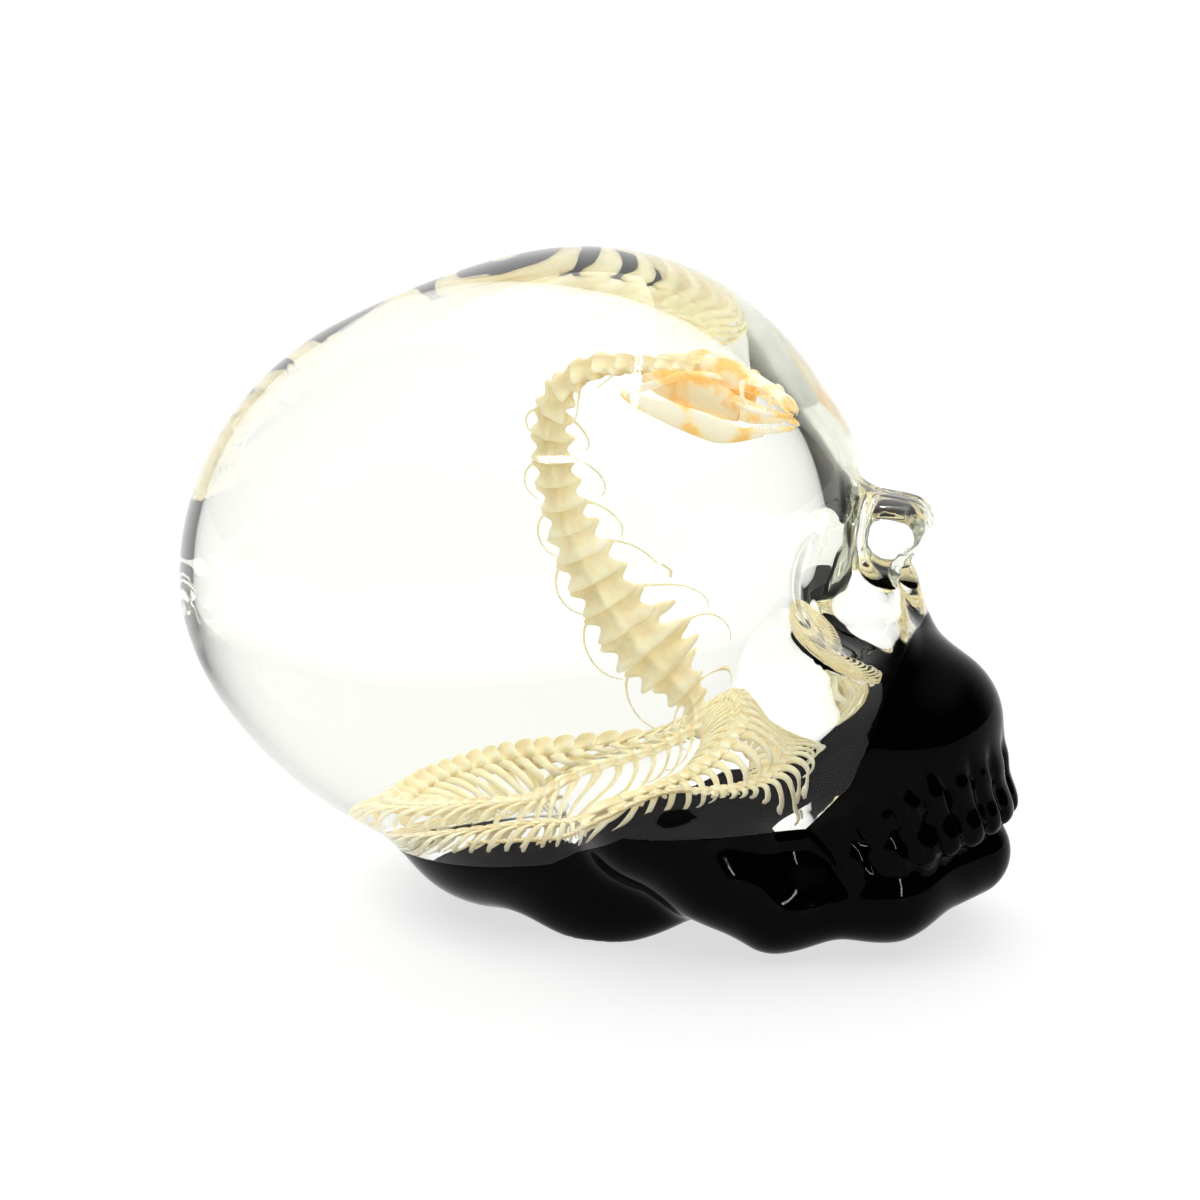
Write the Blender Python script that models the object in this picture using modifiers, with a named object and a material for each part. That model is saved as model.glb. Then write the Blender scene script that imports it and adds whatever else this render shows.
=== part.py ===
"""A small snake's skeleton cast in a human skull of resin, at life size.

The skull is one glossy casting: clear resin above, black resin below and in front, with the teeth in the
black part. The skeleton stands in the clear resin: the loops lie stacked over the black layer, and the neck
rises from the innermost one, turns forward and holds the head behind the forehead.

The scene is in metres, +Z up, with the face towards -Y. The shapes are worked out in millimetres.
Skull frame: side, front (-Y), height, from the middle of the cranium, with its own level as horizontal.
Casting frame: x, y, z, with the skull pitched back and resting on z = 0.
"""

import math

import bmesh
import bpy
import numpy as np
from mathutils import Matrix, Vector

MM = 0.001

# Casting
SKULL_PITCH = math.radians(21.5)  # how far the face tilts up when the casting rests on its base
CRANIUM_HEIGHT = 48.2  # middle of the cranium above the floor
CASTING_SHIFT = 11.88  # brings the middle of the casting's length to y = 0
SKULL_MIDDLE = (0.0, -8.0, -12.0)  # a point well inside, in the skull frame
RAY_ROUNDS = (160, 100)  # of the ball of rays that first finds the surface from outside
RAY_REACH = 110.0
RAY_STEP = 0.5
SKULL_VOXEL = 1.3
SKULL_TRIANGLES = 3000
FLAT_TOLERANCE = 0.06  # what is closer than this to the floor is laid flat on it

# Where clear resin meets black: a layer in two levels, and a steep wall behind the upper jaw
LAYER = (  # the layer's top, as y and z, from the foot of the wall to the back
    (-45.5, 36.0),
    (-42.5, 28.0),
    (-36.0, 20.5),
    (-12.0, 20.6),
    (0.0, 13.6),
    (90.0, 2.9),
)
WALL_TOP = (-50.0, 54.0)  # the wall leaves the layer's front end and passes here
WALL_REACH = 4.5  # how far the wall goes on, in lengths from its foot to WALL_TOP
GAP = 0.3  # between pieces that touch
CUTTER_HALF_WIDTH = 60.0

# Dental arch, seen from below: half of an ellipse
ARCH_HALF_WIDTH = 17.5
ARCH_DEPTH = 21.0
ARCH_BACK = 36.4
TOOTH_WIDTHS = (4.6, 3.9, 4.3, 4.0, 4.1, 5.4, 5.4)  # from the middle of the jaw backwards
UPPER_TEETH = (-44.6, 0.0, 1.0)  # height, step back, size
LOWER_TEETH = (-51.2, -0.9, 0.94)

# Snake: a spiral of loops, the inner ones higher, then the free neck
LOOP_START = 0.06  # turns
LOOP_TURNS = 2.3
LOOP_POINTS = 61  # worked out along them
CURVE_STEPS = 12  # from one point of the route to the next
LOOP_HALF_WIDTH = (12.2, 5.2)  # across, at the inner end, and its growth with each turn
LOOP_HALF_LENGTH = (19.5, 5.2)  # along the skull, likewise
LOOP_SIDE = 3.2  # of their middle, towards +X
LOOP_MIDDLE = (5.0, -0.4)  # along the skull, likewise
LOOP_HEIGHT = (31.8, -5.4)  # of the backbone, likewise
LOOP_TILT = (0.3, -0.18)  # rise for each millimetre of x and of y
LOWEST_LIFT = 3.6  # of the backbone above the black layer
NECK_ROUTE = (  # from the innermost loop up to the back of the head
    (0.3, -11.0, 37.6),
    (0.0, -7.5, 41.3),
    (0.0, -3.5, 45.5),
    (0.0, 0.3, 51.0),
    (0.0, 3.2, 56.5),
    (0.0, 4.8, 62.0),
    (0.0, 5.2, 67.0),
    (0.0, 4.0, 71.3),
    (0.0, 0.6, 74.2),
    (0.0, -4.6, 75.2),
    (0.0, -11.0, 76.0),
)
TANGENT_REACH = 0.8  # to both sides of a point, for its direction
NECK_BACK = (-0.95, 0.1, 0.3)  # which way the back of the standing neck faces
NECK_TURNS = (8.0, 30.0, 62.0, 92.0)  # distances between which it turns to there and back
NECK_TO_LOOPS = (55.0, 85.0)  # distances between which the ribs change from the neck's to the loops'
UNIT_PITCH = 5.8  # from one solid pair of ribs to the next, which stands for two or three real pairs
RIBS_START = 21.0  # behind the head
TAIL_START = 350.0
RIB_SIZES = (  # shares of the full reach below, at distances from the head
    (RIBS_START, 0.6),
    (45.0, 1.0),
    (200.0, 0.95),
    (TAIL_START, 0.45),
)
SPINE_SIZES = (  # of the vertebrae, at distances from the head; the broad lower neck keeps its dried flesh
    (0.0, 0.9),
    (12.0, 1.4),
    (30.0, 1.5),
    (36.0, 1.9),
    (47.0, 2.1),
    (53.0, 1.2),
    (62.0, 1.05),
    (325.0, 1.0),
    (TAIL_START, 0.7),
)
TAIL_TIP_SIZE = 0.32
RIB_REACH = (  # out from the vertebra's side, down, and back along the body: on the neck, and in the loops
    (0.8, 3.4, 4.2),
    (0.6, 2.2, 2.6),
)
RIB_THICKNESS = 0.55
VERTEBRA = (1.9, 1.4, 0.8)  # half width, height above and below the backbone's middle
WAIST = 0.62  # size between two vertebrae
LENGTH_NAMES = ("neck", "trunk_1", "trunk_2", "trunk_3", "trunk_4", "trunk_5", "trunk_6", "tail")
CHANNEL_RADIUS = 5.5
CHANNEL_DROP = 1.3  # its middle below the backbone
CHANNEL_SIZES = (  # shares of that size, at distances from the head
    (0.0, 0.9),
    (12.0, 1.1),
    (34.0, 1.25),
    (50.0, 1.2),
    (62.0, 0.95),
    (325.0, 0.88),
    (TAIL_START, 0.60),
    (366.0, 0.42),
    (378.0, 0.42),
    (390.0, 0.58),
)
CHANNEL_STOPS = 130  # points along its curve
CHANNEL_VOXEL = 1.1
CHANNEL_TRIANGLES = 760

# Snake's head
HEAD_LENGTH = 12.4  # at size 1, like all of the head's other sizes
HEAD_WIDTH = 5.6
HEAD_SIZE = 1.18
HEAD_NOD = math.radians(10.5)
LOFT_SIDES = 10
HEAD_ROOM_MIDDLE = (0.0, -3.6, -1.9)  # the space round the head, in real millimetres
HEAD_ROOM_RADII = (7.4, 15.0, 8.0)

CLEAR_RESIN = ((0.93, 0.95, 0.88, 1.0), 0.03)
BLACK_RESIN = ((0.004, 0.004, 0.005, 1.0), 0.06)
BONE = ((0.80, 0.73, 0.50, 1.0), 0.5)
HEAD_BONE = ((0.82, 0.56, 0.30, 1.0), 0.5)


# ---- distances, the language that the skull is written in -------------------------------------------------


def ellipsoid(p, centre, radii, pitch=0.0):
    """Distance to an ellipsoid, near enough close to its surface."""
    q = p - np.array(centre)
    if pitch:
        c, s = math.cos(pitch), math.sin(pitch)
        q = np.stack([q[:, 0], c * q[:, 1] + s * q[:, 2], -s * q[:, 1] + c * q[:, 2]], 1)
    r = np.array(radii)
    k0 = np.linalg.norm(q / r, axis=1)
    k1 = np.linalg.norm(q / (r * r), axis=1)
    return k0 * (k0 - 1.0) / np.maximum(k1, 1e-9)


def rod(p, start, end, start_radius, end_radius):
    """Distance to a tapered rod with round ends."""
    a, b = np.array(start, float), np.array(end, float)
    d = b - a
    t = np.clip((p - a) @ d / (d @ d), 0.0, 1.0)
    return np.linalg.norm(p - a - t[:, None] * d, axis=1) - (start_radius + t * (end_radius - start_radius))


def block(p, centre, half_sizes, radius):
    """Distance to a box with rounded edges."""
    q = np.abs(p - np.array(centre)) - (np.array(half_sizes) - radius)
    return np.linalg.norm(np.maximum(q, 0.0), axis=1) + np.minimum(q.max(axis=1), 0.0) - radius


def join(a, b, blend):
    h = np.maximum(blend - np.abs(a - b), 0.0) / blend
    return np.minimum(a, b) - h * h * blend / 4.0


def carve(a, b, blend):
    return -join(-a, b, blend)


def arch_point(angle):
    return (ARCH_HALF_WIDTH * math.sin(angle), ARCH_BACK + ARCH_DEPTH * math.cos(angle))


def arch_direction(angle):
    v = (ARCH_HALF_WIDTH * math.cos(angle), -ARCH_DEPTH * math.sin(angle))
    return v, math.hypot(*v)


def teeth(p, height, step_back, size):
    """One side's row of teeth along the arch: rounded blocks, larger at the back."""
    distance = np.full(len(p), 1e3)
    angle = 0.0
    for index, width in enumerate(TOOTH_WIDTHS):
        half = width * size / 2.0
        angle += half / arch_direction(angle)[1]
        side, front = arch_point(angle)
        (tx, ty), length = arch_direction(angle)
        q = p - np.array((side, front + step_back, height))
        along = (q[:, 0] * tx + q[:, 1] * ty) / length
        across = (q[:, 1] * tx - q[:, 0] * ty) / length
        radii = np.array((half * 1.06, 2.6, 4.3 if index < 3 else 3.9))
        crown = (np.abs(np.stack([along, across, q[:, 2]], 1) / radii) ** 3).sum(1) ** (1 / 3)
        distance = np.minimum(distance, (crown - 1.0) * 0.9 * radii.min())
        angle += half / arch_direction(angle)[1]
    return distance


def cranium(p):
    d = ellipsoid(p, (0, -4.5, 2.6), (40.4, 46.0, 42.0), -0.16)
    d = join(d, ellipsoid(p, (0, 17.5, 3.0), (38.0, 35.2, 40.5)), 12)
    occiput = 43.0 + 0.880 * p[:, 1] + 0.474 * p[:, 2]  # the flatter slope at the back of the head
    return carve(d, occiput, 10)


def skull_base(p, d):
    """The underside, the lumps that the casting rests on, and the flat sides below the temples."""
    d = join(d, ellipsoid(p, (0, -7.5, -33.5), (26, 21.5, 14.0)), 8)
    d = join(d, ellipsoid(p, (17.0, 3, -44.0), (6.0, 12, 9.0)), 8)
    slanted = p + np.outer(0.3 * (p[:, 1] - 16.0), (1.0, 0.0, 0.0))
    d = join(d, block(slanted, (0, 28, -32), (30.0, 22, 12), 9), 7)
    return join(d, ellipsoid(p, (0, 18, -44), (20.0, 20, 12)), 8)


def face(p, d):
    d = join(d, ellipsoid(p, (0, 33, -24), (25, 21, 22)), 8)
    d = join(d, ellipsoid(p, (0, 39.5, -38.5), (18.5, 22.0, 15.5)), 5)
    d = join(d, ellipsoid(p, (11, 40.8, 2.5), (15, 7, 5.5)), 8)  # brow
    d = join(d, ellipsoid(p, (16.5, 42, -21), (8, 7, 6)), 7)  # cheekbone
    d = join(d, rod(p, (1.0, 45.0, -2.5), (1.2, 58.3, -9.2), 4.2, 3.6), 4)  # nasal bones
    return join(d, rod(p, (3.5, 55, -11), (7.5, 47, -26), 4.0, 4.5), 4)


def mandible(p, d):
    d = join(d, rod(p, (0, 49.0, -58.4), (12.5, 40, -57.4), 6.8, 6.4), 4)
    d = join(d, rod(p, (12.5, 40, -57.4), (17.5, 25, -53.4), 6.4, 5.8), 5)
    d = join(d, rod(p, (17.5, 25, -53.4), (21.5, 20, -46.0), 5.8, 5.0), 6)
    d = join(d, rod(p, (21.5, 20, -46.0), (24.0, 16, -37), 5.0, 4.0), 7)
    return join(d, ellipsoid(p, (0, 30, -50), (17, 22, 11)), 6)


def hollows(p, d):
    d = carve(d, ellipsoid(p, (15.5, 54.0, -13.5), (9.5, 10.0, 9.5)), 4)  # orbit
    d = carve(d, ellipsoid(p, (0, 59.5, -18.5), (5.0, 6.3, 7.2), 0.5), 2)  # nose
    d = carve(d, ellipsoid(p, (37.5, 47, -7), (9, 9, 12)), 8)  # temple
    return carve(d, ellipsoid(p, (38, 40, -46), (9, 12, 5)), 6)  # below the cheekbone


def skull_distance(points):
    """Distance to the casting's surface, in the skull frame. Both sides are alike."""
    p = points * np.array((1.0, -1.0, 1.0))
    p[:, 0] = np.abs(p[:, 0])
    d = hollows(p, mandible(p, face(p, skull_base(p, cranium(p)))))
    for row in (UPPER_TEETH, LOWER_TEETH):
        d = join(d, teeth(p, *row), 1.0)
    floor = -CRANIUM_HEIGHT - (p[:, 1] * math.sin(SKULL_PITCH) + p[:, 2] * math.cos(SKULL_PITCH))
    return np.maximum(d, floor)


# ---- meshes ---------------------------------------------------------------------------------------------


def coordinates(mesh):
    flat = np.empty(len(mesh.vertices) * 3, np.float32)
    mesh.vertices.foreach_get("co", flat)
    return flat.reshape(-1, 3).astype(float)


def set_coordinates(mesh, points):
    mesh.vertices.foreach_set("co", points.astype(np.float32).ravel())
    mesh.update()


def settle(mesh, distance, steps=4, reach=0.02):
    """Moves every vertex onto the surface where the distance is nought."""
    p = coordinates(mesh)
    for _ in range(steps):
        slope = np.stack([(distance(p + e) - distance(p - e)) / (2 * reach) for e in np.eye(3) * reach], 1)
        step = distance(p) / np.maximum((slope * slope).sum(1), 0.2)
        p -= slope * np.clip(step, -1.5, 1.5)[:, None]
    set_coordinates(mesh, p)


def apply_modifiers(obj):
    graph = bpy.context.evaluated_depsgraph_get()
    mesh = bpy.data.meshes.new_from_object(obj.evaluated_get(graph))
    obj.modifiers.clear()
    obj.data = mesh


def remesh(obj, voxel):
    modifier = obj.modifiers.new("even faces", "REMESH")
    modifier.mode = "VOXEL"
    modifier.voxel_size = voxel
    apply_modifiers(obj)


def decimate(obj, triangles):
    obj.data.calc_loop_triangles()
    modifier = obj.modifiers.new("fewer faces", "DECIMATE")
    modifier.ratio = min(1.0, triangles / len(obj.data.loop_triangles))
    apply_modifiers(obj)


def new_object(name, mesh, collection):
    obj = bpy.data.objects.new(name, mesh)
    collection.objects.link(obj)
    return obj


def wrapped_form(name, distance, middle, voxel, collection):
    """A closed mesh where the distance is nought: a ball drawn in, then remeshed and settled twice."""
    bm = bmesh.new()
    bmesh.ops.create_uvsphere(bm, u_segments=RAY_ROUNDS[0], v_segments=RAY_ROUNDS[1], radius=1.0)
    rays = np.array([v.co[:] for v in bm.verts])
    reach = np.ones(len(rays))
    found = np.zeros(len(rays), bool)
    for t in np.arange(RAY_REACH, 1.0, -RAY_STEP):
        inside = (distance(middle + rays * t) < 0.0) & ~found
        reach[inside] = t
        found |= inside
    mesh = bpy.data.meshes.new(name)
    bm.to_mesh(mesh)
    bm.free()
    set_coordinates(mesh, middle + rays * reach[:, None])
    obj = new_object(name, mesh, collection)
    for _ in range(2):
        remesh(obj, voxel)
        settle(obj.data, distance)
    return obj


def to_casting_frame(p):
    """From the skull frame to the casting frame."""
    c, s = math.cos(SKULL_PITCH), math.sin(SKULL_PITCH)
    y = p[:, 1] * c + p[:, 2] * s + CASTING_SHIFT
    z = -p[:, 1] * s + p[:, 2] * c + CRANIUM_HEIGHT
    return np.stack([p[:, 0], y, z], 1)


def prism(name, outline, collection):
    """A block whose outline in the YZ plane is extruded across the casting."""
    bm = bmesh.new()
    near = [bm.verts.new((-CUTTER_HALF_WIDTH, y, z)) for y, z in outline]
    face_near = bm.faces.new(near)
    made = bmesh.ops.extrude_face_region(bm, geom=[face_near])
    for item in made["geom"]:
        if isinstance(item, bmesh.types.BMVert):
            item.co.x = CUTTER_HALF_WIDTH
    bmesh.ops.recalc_face_normals(bm, faces=bm.faces)
    mesh = bpy.data.meshes.new(name)
    bm.to_mesh(mesh)
    bm.free()
    return new_object(name, mesh, collection)


def layer_height(y):
    return np.interp(y, *zip(*LAYER))


def clear_space_outline(gap):
    """The space of the clear resin in the YZ plane, raised from the black resin by the gap."""
    corner = LAYER[0]
    run, rise = WALL_TOP[0] - corner[0], WALL_TOP[1] - corner[1]
    length = math.hypot(run, rise)
    back = (gap * rise / length, -gap * run / length)
    top = corner[1] + rise * WALL_REACH + back[1]
    layer = [(y, z + gap) for y, z in LAYER[:0:-1]]
    return layer + [
        (corner[0] + back[0], corner[1] + gap),
        (corner[0] + run * WALL_REACH + back[0], top),
        (LAYER[-1][0], top),
    ]


def boolean(obj, other, operation):
    modifier = obj.modifiers.new(operation.lower(), "BOOLEAN")
    modifier.operation = operation
    modifier.solver = "EXACT"
    modifier.object = other
    apply_modifiers(obj)


def hide(obj):
    obj.hide_render = True
    obj.display_type = "WIRE"


def finish(obj, material):
    """Millimetres to metres, with the piece's material."""
    obj.data.transform(Matrix.Scale(MM, 4))
    obj.data.materials.clear()
    obj.data.materials.append(material)


def material(name, look):
    colour, roughness = look
    made = bpy.data.materials.new(name)
    made.use_nodes = True
    shader = made.node_tree.nodes["Principled BSDF"]
    shader.inputs["Base Color"].default_value = colour
    shader.inputs["Roughness"].default_value = roughness
    shader.inputs["Metallic"].default_value = 0.0
    return made


# ---- the snake's route ----------------------------------------------------------------------------------


def grown(start_and_growth, turns):
    return start_and_growth[0] + start_and_growth[1] * turns


def loop_point(turns):
    """A point of the loops, counted in turns from the inner end: the face side first, then the -X side."""
    angle = 2.0 * math.pi * turns
    x = LOOP_SIDE - grown(LOOP_HALF_WIDTH, turns) * math.sin(angle)
    y = grown(LOOP_MIDDLE, turns) - grown(LOOP_HALF_LENGTH, turns) * math.cos(angle)
    z = grown(LOOP_HEIGHT, turns) + LOOP_TILT[0] * x + LOOP_TILT[1] * y
    return (x, y, max(z, layer_height(y) + LOWEST_LIFT))


def catmull_rom(points, steps):
    """A smooth run of points through the given ones."""
    p = [np.array(q, float) for q in points]
    p = [2 * p[0] - p[1]] + p + [2 * p[-1] - p[-2]]
    run = []
    for a, b, c, d in zip(p, p[1:], p[2:], p[3:]):
        for k in range(steps):
            t = k / steps
            run.append(0.5 * (2 * b + (c - a) * t + (2 * a - 5 * b + 4 * c - d) * t * t
                              + (3 * b - a - 3 * c + d) * t ** 3))
    run.append(p[-2])
    return np.array(run)


class Route:
    """The backbone from the head's joint to the tail's tip, read by distance along it."""

    def __init__(self):
        neck = list(reversed(NECK_ROUTE))
        loops = [loop_point(turns) for turns in np.linspace(LOOP_START, LOOP_TURNS, LOOP_POINTS)]
        self.points = catmull_rom(neck + loops, CURVE_STEPS)
        steps = np.linalg.norm(np.diff(self.points, axis=0), axis=1)
        self.distance = np.concatenate([[0.0], np.cumsum(steps)])
        self.length = self.distance[-1]

    def at(self, s):
        return np.array([np.interp(s, self.distance, self.points[:, k]) for k in range(3)])

    def frame(self, s):
        """Position, direction to the tail, left side and back (dorsal) direction."""
        here = self.at(s)
        forward = self.at(min(s + TANGENT_REACH, self.length)) - self.at(max(s - TANGENT_REACH, 0.0))
        forward /= np.linalg.norm(forward)
        hint = self.dorsal_hint(s)
        side = np.cross(hint, forward)
        side /= np.linalg.norm(side)
        return here, forward, side, np.cross(forward, side)

    def dorsal_hint(self, s):
        """Up in the loops and at the head; towards the -X side where the neck stands."""
        turned = np.interp(s, NECK_TURNS, (0.0, 1.0, 1.0, 0.0))
        return (1.0 - turned) * np.array((0.0, 0.0, 1.0)) + turned * np.array(NECK_BACK)


def rib_size(s):
    """How far the ribs reach, as a share of their full size: short on the neck and before the tail."""
    return float(np.interp(s, *zip(*RIB_SIZES)))


def rib_reach(s):
    """How far a rib goes out, down and back."""
    in_loops = float(np.interp(s, NECK_TO_LOOPS, (0.0, 1.0)))
    neck, loops = RIB_REACH
    return [rib_size(s) * (a + (b - a) * in_loops) for a, b in zip(neck, loops)]


def spine_size(s, length):
    """Size of the vertebrae, as a share of their size in the loops."""
    stops, sizes = zip(*SPINE_SIZES, (length, TAIL_TIP_SIZE))
    return float(np.interp(s, stops, sizes))


# ---- the snake's solids ---------------------------------------------------------------------------------


def ring_points(route, s, size):
    """Four points round the backbone: the spine above, the two sides, and the body of the vertebra below."""
    here, forward, side, up = route.frame(s)
    half, above, below = (size * reach for reach in VERTEBRA)
    return [here + up * above, here + side * half, here - up * below, here - side * half]


def rib_path(route, s, side_sign):
    """Points down one rib: out from the vertebra, then down and back."""
    here, forward, side, up = route.frame(s)
    out, down, back = rib_reach(s)
    outward = side * side_sign
    root = here + outward * VERTEBRA[0] * spine_size(s, route.length)
    return [
        root + outward * out * 0.75 - up * down * 0.15 + forward * back * 0.3,
        root + outward * out - up * down * 0.6 + forward * back * 0.65,
        root + outward * out * 0.5 - up * down + forward * back,
    ]


def grow_rib(bm, root, path, forward, side_sign):
    """Carries the four corners of a gap in the backbone's side out along a rib, and closes its tip."""
    ring = root
    signs = ((-1, 1), (1, 1), (1, -1), (-1, -1)) if side_sign > 0 else ((-1, -1), (1, -1), (1, 1), (-1, 1))
    start = np.mean([v.co[:] for v in root], axis=0)
    stations = [start] + path
    for index, point in enumerate(path):
        onward = path[min(index + 1, len(path) - 1)]
        tangent = onward - stations[index]
        tangent /= np.linalg.norm(tangent)
        along = forward - tangent * (forward @ tangent)
        along /= np.linalg.norm(along)
        above = -side_sign * np.cross(tangent, along)
        half = RIB_THICKNESS / 2.0
        grown = [bm.verts.new(point + along * half * a + above * half * b) for a, b in signs]
        for k in range(4):
            bm.faces.new((ring[k], ring[(k + 1) % 4], grown[(k + 1) % 4], grown[k]))
        ring = grown
    bm.faces.new(ring)


def backbone_length(name, route, start, end, collection):
    """One length of the body: a beaded backbone with its pairs of ribs, as a single closed body."""
    units = max(2, round((end - start) / UNIT_PITCH))
    pitch = (end - start) / units
    bm = bmesh.new()
    rings = []
    for k in range(units):
        for at, size in ((0.0, WAIST), (0.4, 1.0)):
            s = start + (k + at) * pitch
            rings.append((s, size * spine_size(s, route.length)))
    rings.append((end, WAIST * spine_size(end, route.length)))
    loops = [[bm.verts.new(q) for q in ring_points(route, s, size)] for s, size in rings]
    bm.faces.new(loops[0])
    bm.faces.new(reversed(loops[-1]))
    for index, (a, b) in enumerate(zip(loops, loops[1:])):
        s = rings[index][0] + pitch * 0.2
        ribbed = index % 2 == 0 and RIBS_START < s < TAIL_START
        for k in range(4):
            corners = (a[k], b[k], b[(k + 1) % 4], a[(k + 1) % 4])
            if ribbed and k in (1, 2):
                sign = 1.0 if k == 1 else -1.0
                grow_rib(bm, corners, rib_path(route, s, sign), route.frame(s)[1], sign)
            else:
                bm.faces.new(corners)
    bmesh.ops.triangulate(bm, faces=bm.faces)
    mesh = bpy.data.meshes.new(name)
    bm.to_mesh(mesh)
    bm.free()
    return new_object(name, mesh, collection)


def snake_lengths(route, collection):
    """Parts the body at even distances, with a thin gap between the lengths."""
    edges = [0.0] + [TAIL_START * (k + 1) / (len(LENGTH_NAMES) - 1) for k in range(len(LENGTH_NAMES) - 1)]
    edges.append(route.length)
    pieces = []
    for name, start, end in zip(LENGTH_NAMES, edges, edges[1:]):
        pieces.append(backbone_length("snake_" + name, route, start + GAP / 2, end - GAP / 2, collection))
    return pieces


def channel(route, collection):
    """The hollow in the clear resin that the snake fills: a tube along the body and a room round the head."""
    curve = bpy.data.curves.new("channel", "CURVE")
    curve.dimensions = "3D"
    curve.bevel_depth = CHANNEL_RADIUS
    curve.bevel_resolution = 2
    curve.use_fill_caps = True
    spline = curve.splines.new("POLY")
    stops = np.linspace(0.0, route.length, CHANNEL_STOPS)
    spline.points.add(len(stops) - 1)
    for point, s in zip(spline.points, stops):
        here, forward, side, up = route.frame(s)
        share = float(np.interp(s, *zip(*CHANNEL_SIZES)))
        middle = here - up * CHANNEL_DROP * share
        point.co = (*middle, 1.0)
        point.radius = share
    obj = new_object("channel_curve", curve, collection)
    bpy.context.view_layer.update()
    graph = bpy.context.evaluated_depsgraph_get()
    mesh = bpy.data.meshes.new_from_object(obj.evaluated_get(graph))
    bpy.data.objects.remove(obj)
    bm = bmesh.new()
    bm.from_mesh(mesh)
    bmesh.ops.remove_doubles(bm, verts=bm.verts, dist=1e-4)
    room = head_frame(route) @ Matrix.Translation(HEAD_ROOM_MIDDLE) @ Matrix.Diagonal((*HEAD_ROOM_RADII, 1.0))
    bmesh.ops.create_uvsphere(bm, u_segments=16, v_segments=10, radius=1.0, matrix=room)
    bm.to_mesh(mesh)
    bm.free()
    made = new_object("channel", mesh, collection)
    remesh(made, CHANNEL_VOXEL)
    decimate(made, CHANNEL_TRIANGLES)
    return made


# ---- the snake's head -----------------------------------------------------------------------------------


def head_frame(route):
    """The head's own frame in the casting: -Y is the snout, +Z the crown, and the origin the neck's joint."""
    place = Matrix.Translation(Vector(route.at(0.0)))
    return place @ Matrix.Rotation(HEAD_NOD, 4, "X")


def loft(name, sections, route, collection):
    """A closed body through oval sections: distance from the neck, side, height, half width, half height."""
    sides = LOFT_SIDES
    bm = bmesh.new()
    rings = []
    for along, side, height, half_width, half_height in sections:
        ring = []
        for k in range(sides):
            a = 2.0 * math.pi * k / sides
            point = Vector((side + half_width * math.cos(a), -along, height + half_height * math.sin(a)))
            ring.append(bm.verts.new(point * HEAD_SIZE))
        rings.append(ring)
    bm.faces.new(reversed(rings[0]))
    bm.faces.new(rings[-1])
    for a, b in zip(rings, rings[1:]):
        for k in range(sides):
            bm.faces.new((a[k], a[(k + 1) % sides], b[(k + 1) % sides], b[k]))
    bmesh.ops.triangulate(bm, faces=bm.faces)
    bmesh.ops.transform(bm, matrix=head_frame(route), verts=bm.verts)
    mesh = bpy.data.meshes.new(name)
    bm.to_mesh(mesh)
    bm.free()
    return new_object(name, mesh, collection)


def snake_head(route, collection):
    """Braincase and snout as one bone mass, and the upper jaws, quadrates and lower jaws of both sides."""
    length, half = HEAD_LENGTH, HEAD_WIDTH / 2.0
    pieces = [
        loft(
            "snake_skull",
            (
                (0.3, 0.0, 0.5, 0.9, 0.8),
                (1.6, 0.0, 0.8, 1.7, 1.2),
                (3.6, 0.0, 0.9, 1.9, 1.3),
                (5.4, 0.0, 0.9, 1.35, 1.05),
                (7.4, 0.0, 0.8, 1.3, 0.85),
                (9.2, 0.0, 0.6, 1.5, 0.75),
                (length - 1.0, 0.0, 0.4, 1.25, 0.6),
                (length, 0.0, 0.3, 0.5, 0.35),
            ),
            route,
            collection,
        )
    ]
    for side, word in ((-1.0, "right"), (1.0, "left")):
        pieces.append(
            loft(
                "snake_upper_jaw_" + word,
                (
                    (2.4, side * half * 0.80, -0.95, 0.28, 0.28),
                    (6.0, side * half * 0.84, -0.95, 0.36, 0.36),
                    (9.0, side * half * 0.72, -0.9, 0.40, 0.45),
                    (length - 0.7, side * half * 0.36, -0.9, 0.30, 0.35),
                ),
                route,
                collection,
            )
        )
        pieces.append(
            loft(
                "snake_lower_jaw_" + word,
                (
                    (-6.0, side * half * 1.06, -3.5, 0.32, 0.45),
                    (-1.5, side * half * 1.08, -4.1, 0.36, 1.00),
                    (5.0, side * half * 1.04, -4.4, 0.34, 1.10),
                    (length - 2.8, side * half * 0.66, -3.3, 0.30, 0.45),
                    (length - 0.4, side * half * 0.25, -2.4, 0.26, 0.32),
                ),
                route,
                collection,
            )
        )
    return pieces


# ---- the casting ----------------------------------------------------------------------------------------


def casting(route, parts, cutters):
    """The skull form, parted into black resin and clear resin, and the snake's channel cut from the clear."""
    skull = wrapped_form("resin_black", skull_distance, np.array(SKULL_MIDDLE), SKULL_VOXEL, parts)
    decimate(skull, SKULL_TRIANGLES)
    points = to_casting_frame(coordinates(skull.data))
    points[points[:, 2] < FLAT_TOLERANCE, 2] = 0.0
    set_coordinates(skull.data, points)
    clear = new_object("resin_clear", skull.data.copy(), parts)
    above = prism("clear_space", clear_space_outline(GAP), cutters)
    below = prism("clear_space_and_gap", clear_space_outline(0.0), cutters)
    boolean(clear, above, "INTERSECT")
    boolean(skull, below, "DIFFERENCE")
    boolean(clear, channel(route, cutters), "DIFFERENCE")
    return clear, skull


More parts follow.
